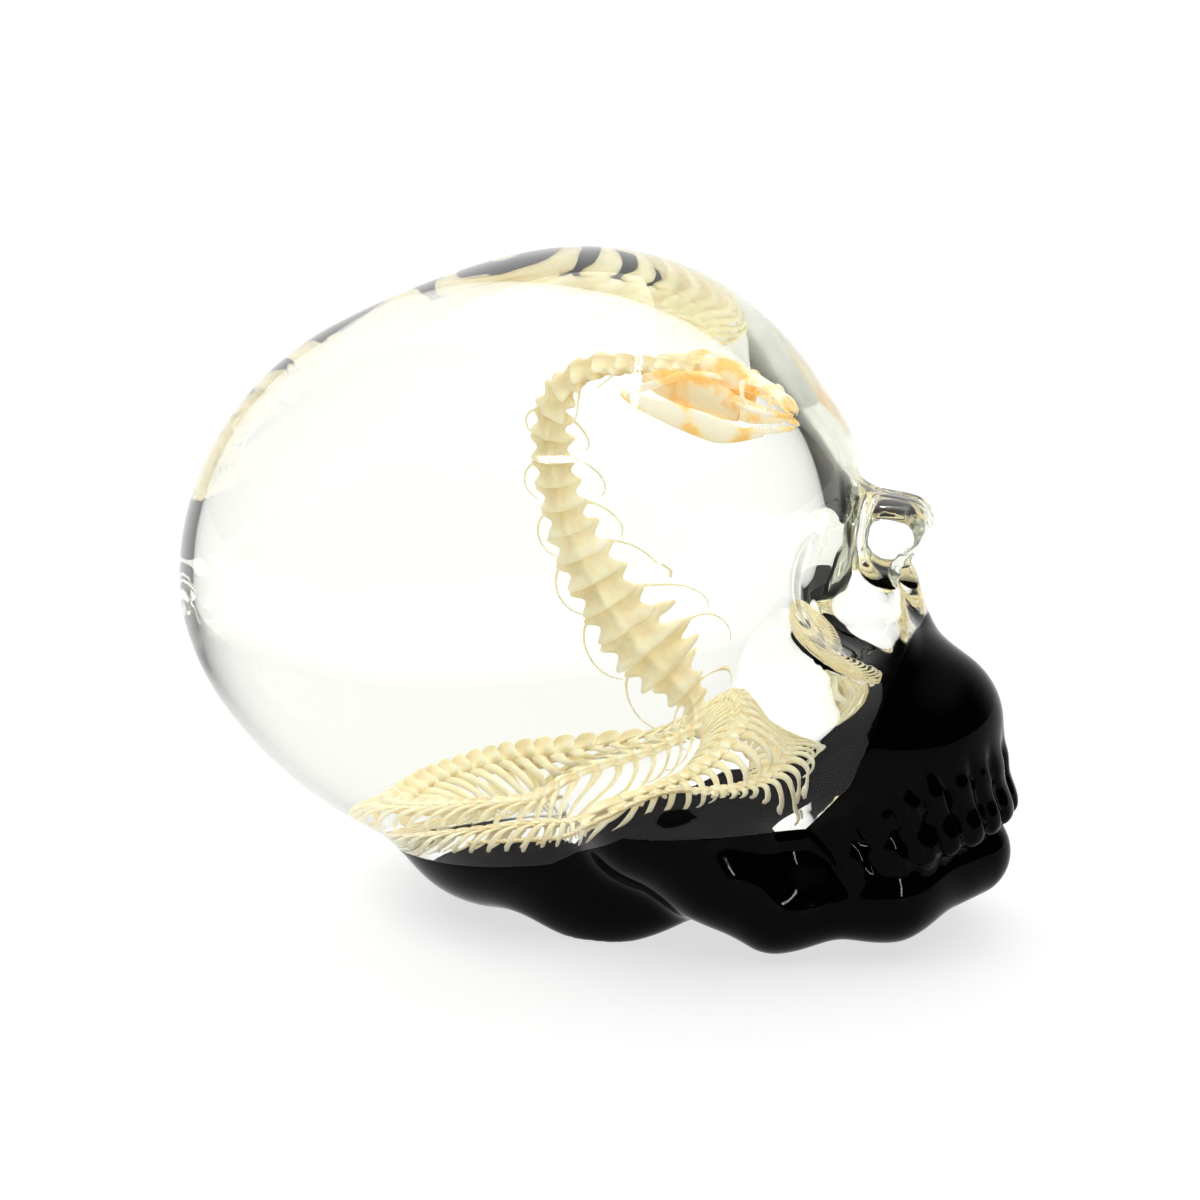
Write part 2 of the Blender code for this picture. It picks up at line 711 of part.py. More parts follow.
def main():
    for obj in list(bpy.data.objects):
        bpy.data.objects.remove(obj)
    scene = bpy.context.scene.collection
    parts = bpy.data.collections.new("Snake skeleton in resin skull")
    cutters = bpy.data.collections.new("Cutters")
    for collection in (parts, cutters):
        scene.children.link(collection)
    route = Route()
    clear, black = casting(route, parts, cutters)
    finish(clear, material("clear resin", CLEAR_RESIN))
    finish(black, material("black resin", BLACK_RESIN))
    bone, head_bone = material("bone", BONE), material("head bone", HEAD_BONE)
    for piece in snake_lengths(route, parts):
        finish(piece, bone)
    for piece in snake_head(route, parts):
        finish(piece, head_bone)
    for cutter in cutters.objects:
        hide(cutter)


main()
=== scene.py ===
"""A small snake's skeleton cast in a skull of clear and black resin: the looks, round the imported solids.

The casting's form and the snake's route are worked out in millimetres, as the solids' are, and every piece
is scaled to metres at the end.
Skull frame: side, front (-Y), height, from the middle of the cranium.
Casting frame: x, y, z, with the skull pitched back and resting on z = 0.
"""

import math
import random

import bmesh
import bpy
import numpy as np
from mathutils import Matrix, Vector


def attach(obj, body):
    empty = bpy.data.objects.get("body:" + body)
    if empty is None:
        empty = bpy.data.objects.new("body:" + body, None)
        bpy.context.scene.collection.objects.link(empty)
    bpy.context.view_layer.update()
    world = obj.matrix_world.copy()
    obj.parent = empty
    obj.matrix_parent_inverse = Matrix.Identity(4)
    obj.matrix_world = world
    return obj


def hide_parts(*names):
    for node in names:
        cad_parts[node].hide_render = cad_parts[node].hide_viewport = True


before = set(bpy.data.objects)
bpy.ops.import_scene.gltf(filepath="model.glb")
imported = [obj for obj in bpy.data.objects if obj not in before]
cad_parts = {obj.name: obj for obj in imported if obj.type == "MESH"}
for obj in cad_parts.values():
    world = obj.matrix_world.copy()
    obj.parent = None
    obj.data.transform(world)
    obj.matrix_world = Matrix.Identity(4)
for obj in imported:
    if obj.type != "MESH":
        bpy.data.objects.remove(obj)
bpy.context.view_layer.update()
MM = 0.001

# ---- the casting ----------------------------------------------------------------------------------------
SKULL_PITCH = math.radians(21.5)  # how far the face tilts up when the casting rests on its base
CRANIUM_HEIGHT = 48.2  # middle of the cranium above the floor
CASTING_SHIFT = 11.88  # brings the middle of the casting's length to y = 0
SKULL_MIDDLE = (0.0, -8.0, -12.0)  # a point well inside, in the skull frame
RAY_ROUNDS = (160, 100)  # of the ball of rays that first finds the surface from outside
RAY_REACH = 110.0
RAY_STEPS = 220
CLEAR_VOXEL = 1.15
BLACK_VOXEL = 0.62
SETTLE_STEPS = 3  # towards the surface, after each remesh
SETTLE_REACH = 1.5  # the longest of these steps
CUTTER_HALF_WIDTH = 60.0
SKIN_DEPTH = 0.2  # what lies closer than this to the true surface is the casting's skin
CREASE = math.radians(50.0)  # edges of the black resin sharper than this stay sharp
LAYER = (  # the black layer's top, as y and z, from the foot of the wall to the back
    (-45.5, 36.0),
    (-42.5, 28.0),
    (-36.0, 20.5),
    (-12.0, 20.6),
    (0.0, 13.6),
    (90.0, 2.9),
)
WALL_TOP = (-50.0, 54.0)  # the wall leaves the layer's front end and passes here
WALL_REACH = 4.5  # how far the wall goes on, in lengths from its corner to WALL_TOP
BOND = 0.12  # how far the black resin reaches into the clear, so that no air lies between them
BOND_INSET = 0.05  # how far that rim stays inside the clear resin's skin
ARCH_HALF_WIDTH = 17.5  # of the dental arch, half of an ellipse
ARCH_DEPTH = 21.0
ARCH_BACK = 36.4
TOOTH_WIDTHS = (4.6, 3.9, 4.3, 4.0, 4.1, 5.4, 5.4)  # from the middle of the jaw backwards
UPPER_TEETH = (-44.6, 0.0, 1.0)  # height, step back, size
LOWER_TEETH = (-51.2, -0.9, 0.94)

# ---- the snake ------------------------------------------------------------------------------------------
LOOP_START = 0.06  # turns
LOOP_TURNS = 2.3
LOOP_POINTS = 61  # worked out along them
CURVE_STEPS = 12  # from one point of the route to the next
LOOP_HALF_WIDTH = (12.2, 5.2)  # across, at the inner end, and its growth with each turn
LOOP_HALF_LENGTH = (19.5, 5.2)  # along the skull, likewise
LOOP_SIDE = 3.2  # of their middle, towards +X
LOOP_MIDDLE = (5.0, -0.4)  # along the skull, likewise
LOOP_HEIGHT = (31.8, -5.4)  # of the backbone, likewise
LOOP_TILT = (0.3, -0.18)  # rise for each millimetre of x and of y
LOWEST_LIFT = 3.6  # of the backbone above the black layer
NECK_ROUTE = (  # from the innermost loop up to the back of the head
    (0.3, -11.0, 37.6),
    (0.0, -7.5, 41.3),
    (0.0, -3.5, 45.5),
    (0.0, 0.3, 51.0),
    (0.0, 3.2, 56.5),
    (0.0, 4.8, 62.0),
    (0.0, 5.2, 67.0),
    (0.0, 4.0, 71.3),
    (0.0, 0.6, 74.2),
    (0.0, -4.6, 75.2),
    (0.0, -11.0, 76.0),
)
TANGENT_REACH = 0.8  # to both sides of a point, for its direction
NECK_BACK = (-0.95, 0.1, 0.3)  # which way the back of the standing neck faces
NECK_TURNS = (8.0, 30.0, 62.0, 92.0)  # distances between which it turns to there and back
NECK_TO_LOOPS = (55.0, 85.0)  # distances between which the ribs change from the neck's to the loops'
TAIL_START = 350.0
SPINE_SIZES = (  # of the vertebrae, at distances from the head; the broad lower neck keeps its dried flesh
    (0.0, 0.9),
    (12.0, 1.4),
    (30.0, 1.5),
    (36.0, 2.0),
    (47.0, 2.4),
    (53.0, 1.2),
    (62.0, 1.05),
    (325.0, 1.0),
    (TAIL_START, 0.7),
)
TAIL_TIP_SIZE = 0.32
LENGTH_NAMES = ("neck", "trunk_1", "trunk_2", "trunk_3", "trunk_4", "trunk_5", "trunk_6", "tail")
VERTEBRA_PITCH = 2.15  # at size 1, like the two below
VERTEBRA_HALF_WIDTH = 1.86
VERTEBRA_HEIGHTS = (-0.8, 1.5)  # of its floor and of its spine's tip
RIBS_START = 9.0  # behind the head
LOOPS_RIBBED = 62.0  # before here only every second vertebra has kept its ribs
RIB_SIZES = (  # shares of the full reach below, at distances from the head
    (RIBS_START, 0.3),
    (22.0, 0.7),
    (40.0, 1.0),
    (200.0, 1.0),
    (TAIL_START - 20.0, 0.6),
    (TAIL_START, 0.1),
)
RIB_REACH = ((3.0, 3.4, 6.5), (4.6, 4.4, 3.6))  # out, down and back: on the neck, and in the loops
RIB_BREADTH = (1.0, 2.6)  # along the body, over their thickness: on the neck, and in the loops
RIB_RADII = (0.14, 0.27)  # at the root, likewise
HEAD_LENGTH = 12.4  # at size 1, like all of the head's other sizes
HEAD_SIZE = 1.18
HEAD_NOD = math.radians(10.5)

# ---- looks and studio -----------------------------------------------------------------------------------
BONE_PAINTED_FILL_LIGHT = 0.30  # painted fill light: the share of their own colour that the bones give off, standing in for light that the resin scatters onto them
CLEAR_GLARE = 0.12  # of the full mirror light off the clear resin, which stands in an almost dark room
FLOOR_GLOW = 0.7  # of the lit floor, which leaves only a soft shadow
TENT_LIGHT = 1.03
NEAR_SIDE = (0.02, 0.02, 0.02, 1.0)  # colour of the light tent on the side that the photograph is taken from
NEAR_SIDE_EDGES = (-0.88, -0.15)  # cosines from the camera's side: bright before, dark past the second
NEAR_SIDE_HEIGHTS = (0.45, 0.90)  # sines of the height: dark up to the first, bright above the second
LAMP_ROWS = (  # start and end in millimetres, and number of lamps, of the double rows round the casting
    ((-85.0, 165.0, 665.0), (174.0, -130.0, 650.0), 26),
    ((170.0, -140.0, 650.0), (-306.0, -264.0, 549.0), 28),
    ((-478.0, 64.0, 476.0), (-461.0, -107.0, 485.0), 11),
    ((-450.0, -430.0, 60.0), (-450.0, -430.0, 420.0), 40),
)
LAMP_SIZE = 8.0
LAMP_ROW_GAP = 16.0
LAMP_STRENGTH = 150.0

# ---- camera ---------------------------------------------------------------------------------------------
VIEW_AZIMUTH = math.radians(-75.0)
VIEW_ELEVATION = math.radians(17.0)
VIEW_DISTANCE = 650.0
VIEW_TARGET = (0.0, 12.0, 48.0)
VIEW_OFFSET = (11.8, -3.2)  # of the picture's middle from the target: right and up
PIXELS_PER_MM = 6.8
FRAME_PIXELS = 1200
SENSOR = 36.0


# ---- distances, the language that the skull is written in -------------------------------------------------


def ellipsoid(p, centre, radii, pitch=0.0):
    """Distance to an ellipsoid, near enough close to its surface."""
    q = p - np.array(centre)
    if pitch:
        c, s = math.cos(pitch), math.sin(pitch)
        q = np.stack([q[:, 0], c * q[:, 1] + s * q[:, 2], -s * q[:, 1] + c * q[:, 2]], 1)
    r = np.array(radii)
    k0 = np.linalg.norm(q / r, axis=1)
    k1 = np.linalg.norm(q / (r * r), axis=1)
    return k0 * (k0 - 1.0) / np.maximum(k1, 1e-9)


def rod(p, start, end, start_radius, end_radius):
    """Distance to a tapered rod with round ends."""
    a, b = np.array(start, float), np.array(end, float)
    d = b - a
    t = np.clip((p - a) @ d / (d @ d), 0.0, 1.0)
    return np.linalg.norm(p - a - t[:, None] * d, axis=1) - (start_radius + t * (end_radius - start_radius))


def block(p, centre, half_sizes, radius):
    """Distance to a box with rounded edges."""
    q = np.abs(p - np.array(centre)) - (np.array(half_sizes) - radius)
    return np.linalg.norm(np.maximum(q, 0.0), axis=1) + np.minimum(q.max(axis=1), 0.0) - radius


def join(a, b, blend):
    h = np.maximum(blend - np.abs(a - b), 0.0) / blend
    return np.minimum(a, b) - h * h * blend / 4.0


def carve(a, b, blend):
    return -join(-a, b, blend)


def arch_point(angle):
    return (ARCH_HALF_WIDTH * math.sin(angle), ARCH_BACK + ARCH_DEPTH * math.cos(angle))


def arch_direction(angle):
    v = (ARCH_HALF_WIDTH * math.cos(angle), -ARCH_DEPTH * math.sin(angle))
    return v, math.hypot(*v)


def teeth(p, height, step_back, size):
    """One side's row of teeth along the arch: rounded blocks, larger at the back."""
    distance = np.full(len(p), 1e3)
    angle = 0.0
    for index, width in enumerate(TOOTH_WIDTHS):
        half = width * size / 2.0
        angle += half / arch_direction(angle)[1]
        side, front = arch_point(angle)
        (tx, ty), length = arch_direction(angle)
        q = p - np.array((side, front + step_back, height))
        along = (q[:, 0] * tx + q[:, 1] * ty) / length
        across = (q[:, 1] * tx - q[:, 0] * ty) / length
        radii = np.array((half * 1.06, 2.6, 4.3 if index < 3 else 3.9))
        crown = (np.abs(np.stack([along, across, q[:, 2]], 1) / radii) ** 3).sum(1) ** (1 / 3)
        distance = np.minimum(distance, (crown - 1.0) * 0.9 * radii.min())
        angle += half / arch_direction(angle)[1]
    return distance


def cranium(p):
    d = ellipsoid(p, (0, -4.5, 2.6), (40.4, 46.0, 42.0), -0.16)
    d = join(d, ellipsoid(p, (0, 17.5, 3.0), (38.0, 35.2, 40.5)), 12)
    occiput = 43.0 + 0.880 * p[:, 1] + 0.474 * p[:, 2]
    return carve(d, occiput, 10)


def skull_base(p, d):
    d = join(d, ellipsoid(p, (0, -7.5, -33.5), (26, 21.5, 14.0)), 8)
    d = join(d, ellipsoid(p, (17.0, 3, -44.0), (6.0, 12, 9.0)), 8)
    slanted = p + np.outer(0.3 * (p[:, 1] - 16.0), (1.0, 0.0, 0.0))
    d = join(d, block(slanted, (0, 28, -32), (30.0, 22, 12), 9), 7)
    return join(d, ellipsoid(p, (0, 18, -44), (20.0, 20, 12)), 8)


def face(p, d):
    d = join(d, ellipsoid(p, (0, 33, -24), (25, 21, 22)), 8)
    d = join(d, ellipsoid(p, (0, 39.5, -38.5), (18.5, 22.0, 15.5)), 5)
    d = join(d, ellipsoid(p, (11, 40.8, 2.5), (15, 7, 5.5)), 8)
    d = join(d, ellipsoid(p, (16.5, 42, -21), (8, 7, 6)), 7)
    d = join(d, rod(p, (1.0, 45.0, -2.5), (1.2, 58.3, -9.2), 4.2, 3.6), 4)
    return join(d, rod(p, (3.5, 55, -11), (7.5, 47, -26), 4.0, 4.5), 4)


def mandible(p, d):
    d = join(d, rod(p, (0, 49.0, -58.4), (12.5, 40, -57.4), 6.8, 6.4), 4)
    d = join(d, rod(p, (12.5, 40, -57.4), (17.5, 25, -53.4), 6.4, 5.8), 5)
    d = join(d, rod(p, (17.5, 25, -53.4), (21.5, 20, -46.0), 5.8, 5.0), 6)
    d = join(d, rod(p, (21.5, 20, -46.0), (24.0, 16, -37), 5.0, 4.0), 7)
    return join(d, ellipsoid(p, (0, 30, -50), (17, 22, 11)), 6)


def hollows(p, d):
    d = carve(d, ellipsoid(p, (15.5, 54.0, -13.5), (9.5, 10.0, 9.5)), 4)
    d = carve(d, ellipsoid(p, (0, 59.5, -18.5), (5.0, 6.3, 7.2), 0.5), 2)
    d = carve(d, ellipsoid(p, (37.5, 47, -7), (9, 9, 12)), 8)
    return carve(d, ellipsoid(p, (38, 40, -46), (9, 12, 5)), 6)


def skull_distance(points):
    """Distance to the casting's surface, in the skull frame. Both sides are alike."""
    p = points * np.array((1.0, -1.0, 1.0))
    p[:, 0] = np.abs(p[:, 0])
    d = hollows(p, mandible(p, face(p, skull_base(p, cranium(p)))))
    for row in (UPPER_TEETH, LOWER_TEETH):
        d = join(d, teeth(p, *row), 1.0)
    floor = -CRANIUM_HEIGHT - (p[:, 1] * math.sin(SKULL_PITCH) + p[:, 2] * math.cos(SKULL_PITCH))
    return np.maximum(d, floor)


def slope_of(distance, p, reach=0.02):
    return np.stack([(distance(p + e) - distance(p - e)) / (2 * reach) for e in np.eye(3) * reach], 1)


# ---- meshes ---------------------------------------------------------------------------------------------


def coordinates(mesh):
    flat = np.empty(len(mesh.vertices) * 3, np.float32)
    mesh.vertices.foreach_get("co", flat)
    return flat.reshape(-1, 3).astype(float)


def set_coordinates(mesh, points):
    mesh.vertices.foreach_set("co", points.astype(np.float32).ravel())
    mesh.update()


def settle(mesh, distance):
    """Moves every vertex onto the surface where the distance is nought."""
    p = coordinates(mesh)
    for _ in range(SETTLE_STEPS):
        slope = slope_of(distance, p)
        step = distance(p) / np.maximum((slope * slope).sum(1), 0.2)
        p -= slope * np.clip(step, -SETTLE_REACH, SETTLE_REACH)[:, None]
    set_coordinates(mesh, p)


def apply_modifiers(obj):
    graph = bpy.context.evaluated_depsgraph_get()
    mesh = bpy.data.meshes.new_from_object(obj.evaluated_get(graph))
    obj.modifiers.clear()
    obj.data = mesh


def remesh(obj, voxel):
    modifier = obj.modifiers.new("even faces", "REMESH")
    modifier.mode = "VOXEL"
    modifier.voxel_size = voxel
    apply_modifiers(obj)


def new_object(name, mesh):
    obj = bpy.data.objects.new(name, mesh)
    bpy.context.scene.collection.objects.link(obj)
    return obj


def wrapped_form(name, distance, middle, voxel):
    """A closed mesh where the distance is nought: a ball drawn in, then remeshed and settled twice."""
    bm = bmesh.new()
    bmesh.ops.create_uvsphere(bm, u_segments=RAY_ROUNDS[0], v_segments=RAY_ROUNDS[1], radius=1.0)
    rays = np.array([v.co[:] for v in bm.verts])
    reach = np.ones(len(rays))
    found = np.zeros(len(rays), bool)
    for t in np.linspace(RAY_REACH, 1.0, RAY_STEPS):
        inside = (distance(middle + rays * t) < 0.0) & ~found
        reach[inside] = t
        found |= inside
    mesh = bpy.data.meshes.new(name)
    bm.to_mesh(mesh)
    bm.free()
    set_coordinates(mesh, middle + rays * reach[:, None])
    obj = new_object(name, mesh)
    for size in (voxel * 2.0, voxel):
        remesh(obj, size)
        settle(obj.data, distance)
    return obj


def to_casting_frame(p):
    c, s = math.cos(SKULL_PITCH), math.sin(SKULL_PITCH)
    y = p[:, 1] * c + p[:, 2] * s + CASTING_SHIFT
    z = -p[:, 1] * s + p[:, 2] * c + CRANIUM_HEIGHT
    return np.stack([p[:, 0], y, z], 1)


def to_skull_frame(q):
    c, s = math.cos(SKULL_PITCH), math.sin(SKULL_PITCH)
    y, z = q[:, 1] - CASTING_SHIFT, q[:, 2] - CRANIUM_HEIGHT
    return np.stack([q[:, 0], y * c - z * s, y * s + z * c], 1)


def turned_to_casting(v):
    """A direction from the skull frame to the casting frame."""
    c, s = math.cos(SKULL_PITCH), math.sin(SKULL_PITCH)
    return np.stack([v[:, 0], v[:, 1] * c + v[:, 2] * s, -v[:, 1] * s + v[:, 2] * c], 1)


def layer_height(y):
    return np.interp(y, *zip(*LAYER))


def wall_line():
    """The corner where the wall leaves the layer, and the wall's run and rise."""
    corner = LAYER[0]
    return corner, (WALL_TOP[0] - corner[0], WALL_TOP[1] - corner[1])


def clear_space_outline(gap):
    """The space of the clear resin in the YZ plane, raised from the black resin by the gap."""
    corner, (run, rise) = wall_line()
    length = math.hypot(run, rise)
    back = (gap * rise / length, -gap * run / length)
    top = corner[1] + rise * WALL_REACH + back[1]
    layer = [(y, z + gap) for y, z in LAYER[:0:-1]]
    return layer + [
        (corner[0] + back[0], corner[1] + gap),
        (corner[0] + run * WALL_REACH + back[0], top),
        (LAYER[-1][0], top),
    ]


def clear_space_depth(q):
    """How far a point lies inside the clear resin's space, in the casting frame."""
    corner, (run, rise) = wall_line()
    length = math.hypot(run, rise)
    over_layer = q[:, 2] - layer_height(q[:, 1])
    behind_wall = ((q[:, 1] - corner[0]) * rise - (q[:, 2] - corner[1]) * run) / length
    return np.minimum(over_layer, behind_wall)


def prism(name, outline, half_width):
    bm = bmesh.new()
    near = [bm.verts.new((-half_width, y, z)) for y, z in outline]
    made = bmesh.ops.extrude_face_region(bm, geom=[bm.faces.new(near)])
    for item in made["geom"]:
        if isinstance(item, bmesh.types.BMVert):
            item.co.x = half_width
    bmesh.ops.recalc_face_normals(bm, faces=bm.faces)
    mesh = bpy.data.meshes.new(name)
    bm.to_mesh(mesh)
    bm.free()
    return new_object(name, mesh)


def boolean(obj, other, operation):
    modifier = obj.modifiers.new(operation.lower(), "BOOLEAN")
    modifier.operation = operation
    modifier.solver = "EXACT"
    modifier.object = other
    apply_modifiers(obj)
    bpy.data.objects.remove(other)


def in_metres(obj):
    obj.data.transform(Matrix.Scale(MM, 4))
    return obj


# ---- the snake's route ----------------------------------------------------------------------------------


def grown(start_and_growth, turns):
    return start_and_growth[0] + start_and_growth[1] * turns


def loop_point(turns):
    angle = 2.0 * math.pi * turns
    x = LOOP_SIDE - grown(LOOP_HALF_WIDTH, turns) * math.sin(angle)
    y = grown(LOOP_MIDDLE, turns) - grown(LOOP_HALF_LENGTH, turns) * math.cos(angle)
    z = grown(LOOP_HEIGHT, turns) + LOOP_TILT[0] * x + LOOP_TILT[1] * y
    return (x, y, max(z, layer_height(y) + LOWEST_LIFT))


def catmull_rom(points, steps):
    """A smooth run of points through the given ones."""
    p = [np.array(q, float) for q in points]
    p = [2 * p[0] - p[1]] + p + [2 * p[-1] - p[-2]]
    run = []
    for a, b, c, d in zip(p, p[1:], p[2:], p[3:]):
        for k in range(steps):
            t = k / steps
            run.append(0.5 * (2 * b + (c - a) * t + (2 * a - 5 * b + 4 * c - d) * t * t
                              + (3 * b - a - 3 * c + d) * t ** 3))
    run.append(p[-2])
    return np.array(run)


class Route:
    """The backbone from the head's joint to the tail's tip, read by distance along it."""

    def __init__(self):
        neck = list(reversed(NECK_ROUTE))
        loops = [loop_point(turns) for turns in np.linspace(LOOP_START, LOOP_TURNS, LOOP_POINTS)]
        self.points = catmull_rom(neck + loops, CURVE_STEPS)
        steps = np.linalg.norm(np.diff(self.points, axis=0), axis=1)
        self.distance = np.concatenate([[0.0], np.cumsum(steps)])
        self.length = self.distance[-1]

    def at(self, s):
        return np.array([np.interp(s, self.distance, self.points[:, k]) for k in range(3)])

    def frame(self, s):
        """Position, side, direction to the tail and back (dorsal) direction."""
        here = self.at(s)
        forward = self.at(min(s + TANGENT_REACH, self.length)) - self.at(max(s - TANGENT_REACH, 0.0))
        forward /= np.linalg.norm(forward)
        turned = np.interp(s, NECK_TURNS, (0.0, 1.0, 1.0, 0.0))
        hint = (1.0 - turned) * np.array((0.0, 0.0, 1.0)) + turned * np.array(NECK_BACK)
        side = np.cross(hint, forward)
        side /= np.linalg.norm(side)
        return here, side, forward, np.cross(forward, side)


def spine_size(s, length):
    stops, sizes = zip(*SPINE_SIZES, (length, TAIL_TIP_SIZE))
    return float(np.interp(s, stops, sizes))


def rib_size(s):
    return float(np.interp(s, *zip(*RIB_SIZES)))


def in_loops(s):
    """0 on the neck, 1 in the loops."""
    return float(np.interp(s, NECK_TO_LOOPS, (0.0, 1.0)))


def mixed(pair, share):
    a, b = (np.array(v, float) for v in pair)
    return a + (b - a) * share


# ---- building bones -------------------------------------------------------------------------------------


class Bones:
    """Collects closed forms into one mesh, with a painted-light value for each point: 0 for painted shade in
    hollows, 1 for painted light on raised edges.
    """

    def __init__(self):
        self.points, self.faces, self.relief, self.count = [], [], [], 0

    def add(self, points, faces, relief):
        self.points.append(points)
        self.faces.extend([[i + self.count for i in f] for f in faces])
        self.relief.append(np.broadcast_to(relief, (len(points),)))
        self.count += len(points)

    def piece(self, name, look, node, slot):
        mesh = bpy.data.meshes.new(name)
        mesh.from_pydata((np.concatenate(self.points) * MM).tolist(), [], self.faces)
        shade = mesh.attributes.new("relief", "FLOAT", "POINT")
        shade.data.foreach_set("value", np.concatenate(self.relief).astype(np.float32))
        mesh.shade_smooth()
        mesh.materials.append(look)
        obj = new_object(name, mesh)
        return place(obj, slot, node)


def place(obj, slot, *nodes):
    """Rides the one body and stands for its solids; the slot is not used."""
    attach(obj, "root")
    if nodes:
        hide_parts(*nodes)
    return obj


def rings_to_form(rings):
    """Points and faces of a closed form through rings that each have the same number of points."""
    sides = len(rings[0])
    points = np.concatenate(rings)
    faces = [list(range(sides))[::-1]]
    for r in range(len(rings) - 1):
        for k in range(sides):
            a, b = r * sides + k, r * sides + (k + 1) % sides
            faces.append([a, b, b + sides, a + sides])
    last = (len(rings) - 1) * sides
    faces.append([last + k for k in range(sides)])
    return points, faces


def smoothed(points, faces, relief, levels=1):
    """The same form after subdivision, with its painted-light value carried along."""
    mesh = bpy.data.meshes.new("template")
    mesh.from_pydata(points.tolist(), [], faces)
    shade = mesh.attributes.new("relief", "FLOAT", "POINT")
    shade.data.foreach_set("value", np.array(relief, np.float32))
    obj = new_object("template", mesh)
    modifier = obj.modifiers.new("smooth", "SUBSURF")
    modifier.levels = levels
    apply_modifiers(obj)
    made = obj.data
    relief = np.empty(len(made.vertices), np.float32)
    made.attributes["relief"].data.foreach_get("value", relief)
    result = coordinates(made), [list(f.vertices) for f in made.polygons], relief
    bpy.data.objects.remove(obj)
    return result


def tube(path, radii, sides=8, flatten=1.0, up=(0.0, 0.0, 1.0)):
    """A round or flattened rod along points, with closed ends. flatten is its height over its width."""
    path = np.array(path, float)
    tangents = np.gradient(path, axis=0)
    tangents /= np.linalg.norm(tangents, axis=1)[:, None]
    rings = []
    for centre, tangent, radius in zip(path, tangents, radii):
        side = np.cross(up, tangent)
        side /= max(np.linalg.norm(side), 1e-6)
        rise = np.cross(tangent, side)
        angles = 2.0 * math.pi * np.arange(sides) / sides
        across, over = np.cos(angles) * radius, np.sin(angles) * radius * flatten
        rings.append(centre + across[:, None] * side + over[:, None] * rise)
    return rings_to_form(rings)


# ---- vertebrae and ribs ---------------------------------------------------------------------------------


def vertebra_section(y, wing, wing_height, thick, roof, spine, centrum, floor):
    """One cross-section of a vertebra: spine, roof, wing and rounded body, then the same mirrored."""
    half = [
        (0.0, roof + spine),
        (0.17, roof + spine * 0.9),
        (0.30, roof + spine * 0.12),
        (wing * 0.62, (roof + wing_height) / 2.0 + 0.14),
        (wing, wing_height + thick / 2.0),
        (wing * 0.98, wing_height - thick / 2.0),
        (centrum * 1.2, wing_height - 0.42),
        (centrum, floor * 0.4),
        (centrum * 0.62, floor * 0.9),
        (0.0, floor),
    ]
    ring = half + [(-x, z) for x, z in reversed(half[1:-1])]
    return np.array([(x, y, z) for x, z in ring])


VERTEBRA_SECTIONS = (  # place along the body in pitches, then what vertebra_section takes
    (-0.50, 0.75, 0.22, 0.36, 0.62, 0.00, 0.60, -0.66),
    (-0.43, 1.72, 0.20, 0.38, 0.74, 0.02, 0.70, -0.78),
    (-0.24, 1.86, 0.24, 0.40, 0.82, 0.22, 0.74, -0.80),
    (-0.04, 1.18, 0.34, 0.42, 0.88, 0.46, 0.60, -0.68),
    (0.16, 1.12, 0.44, 0.42, 0.92, 0.50, 0.56, -0.64),
    (0.38, 1.74, 0.56, 0.36, 0.98, 0.46, 0.60, -0.66),
    (0.56, 1.68, 0.64, 0.28, 1.02, 0.38, 0.50, -0.52),
    (0.64, 0.60, 0.72, 0.20, 0.96, 0.20, 0.34, -0.34),
)


def vertebra():
    """Points, faces and painted-light values of one vertebra at size 1, with the tail towards +Y and the
    back at +Z.
    """
    rings = [vertebra_section(at * VERTEBRA_PITCH, *rest) for at, *rest in VERTEBRA_SECTIONS]
    points, faces = rings_to_form(rings)
    # Painted light: the wings' edges and the higher points towards the rear are painted lighter, the rest
    # darker with painted shade.
    lowest, highest = VERTEBRA_HEIGHTS
    wing_share = np.abs(points[:, 0]) / VERTEBRA_HALF_WIDTH
    raised = (points[:, 2] - lowest) / (highest - lowest)
    rear = points[:, 1] / VERTEBRA_PITCH + 0.5
    relief = np.clip(0.25 + 0.35 * wing_share ** 2 + 0.45 * raised * rear, 0.0, 1.0)
    return smoothed(points, faces, relief)


def rib_curve(s, route_size, sign, jitter):
    """Points of one rib in a vertebra's own axes: out from its lower front corner, then down and back."""
    share = in_loops(s)
    out, down, back = mixed(RIB_REACH, share) * rib_size(s) * jitter
    root = np.array((1.25, -0.25 * VERTEBRA_PITCH, -0.05)) * route_size
    knots = [
        root,
        root + (out * 0.42, back * 0.08, -down * 0.02),
        root + (out * 0.80, back * 0.28, -down * 0.20),
        root + (out * 1.00, back * 0.56, -down * 0.52),
        root + (out * 0.92, back * 0.82, -down * 0.82),
        root + (out * 0.62, back * 1.00, -down * 1.02),
    ]
    path = catmull_rom(knots, 3)
    path[:, 0] *= sign
    return path


def rib(s, route_size, sign, jitter):
    path = rib_curve(s, route_size, sign, jitter)
    thick = float(mixed(RIB_RADII, in_loops(s)))
    t = np.linspace(0.0, 1.0, len(path))
    radii = thick * (1.0 + 0.7 * np.exp(-t * 9.0) - 0.55 * t)
    radii[0] *= 0.7
    radii[-1] *= 0.5
    breadth = float(mixed(RIB_BREADTH, in_loops(s)))
    points, faces = tube(path, radii, sides=6, flatten=breadth, up=(0.0, 1.0, 0.0))
    # Painted shade at the rib's root, where it meets the vertebra, growing lighter towards its tip.
    return points, faces, np.repeat(0.55 + 0.3 * t, 6)


def stretch(size):
    """How much longer a vertebra is for its size: broad ones lie closer, one over the next."""
    return max(size, 0.4) ** (0.45 if size > 1.0 else 1.0)


def vertebra_stations(route):
    """Distances of the vertebrae from the head, closer together where they are smaller."""
    stations = []
    s = 0.6 * VERTEBRA_PITCH
    while s < route.length - 0.6:
        stations.append(s)
        s += VERTEBRA_PITCH * stretch(spine_size(s, route.length))
    return stations


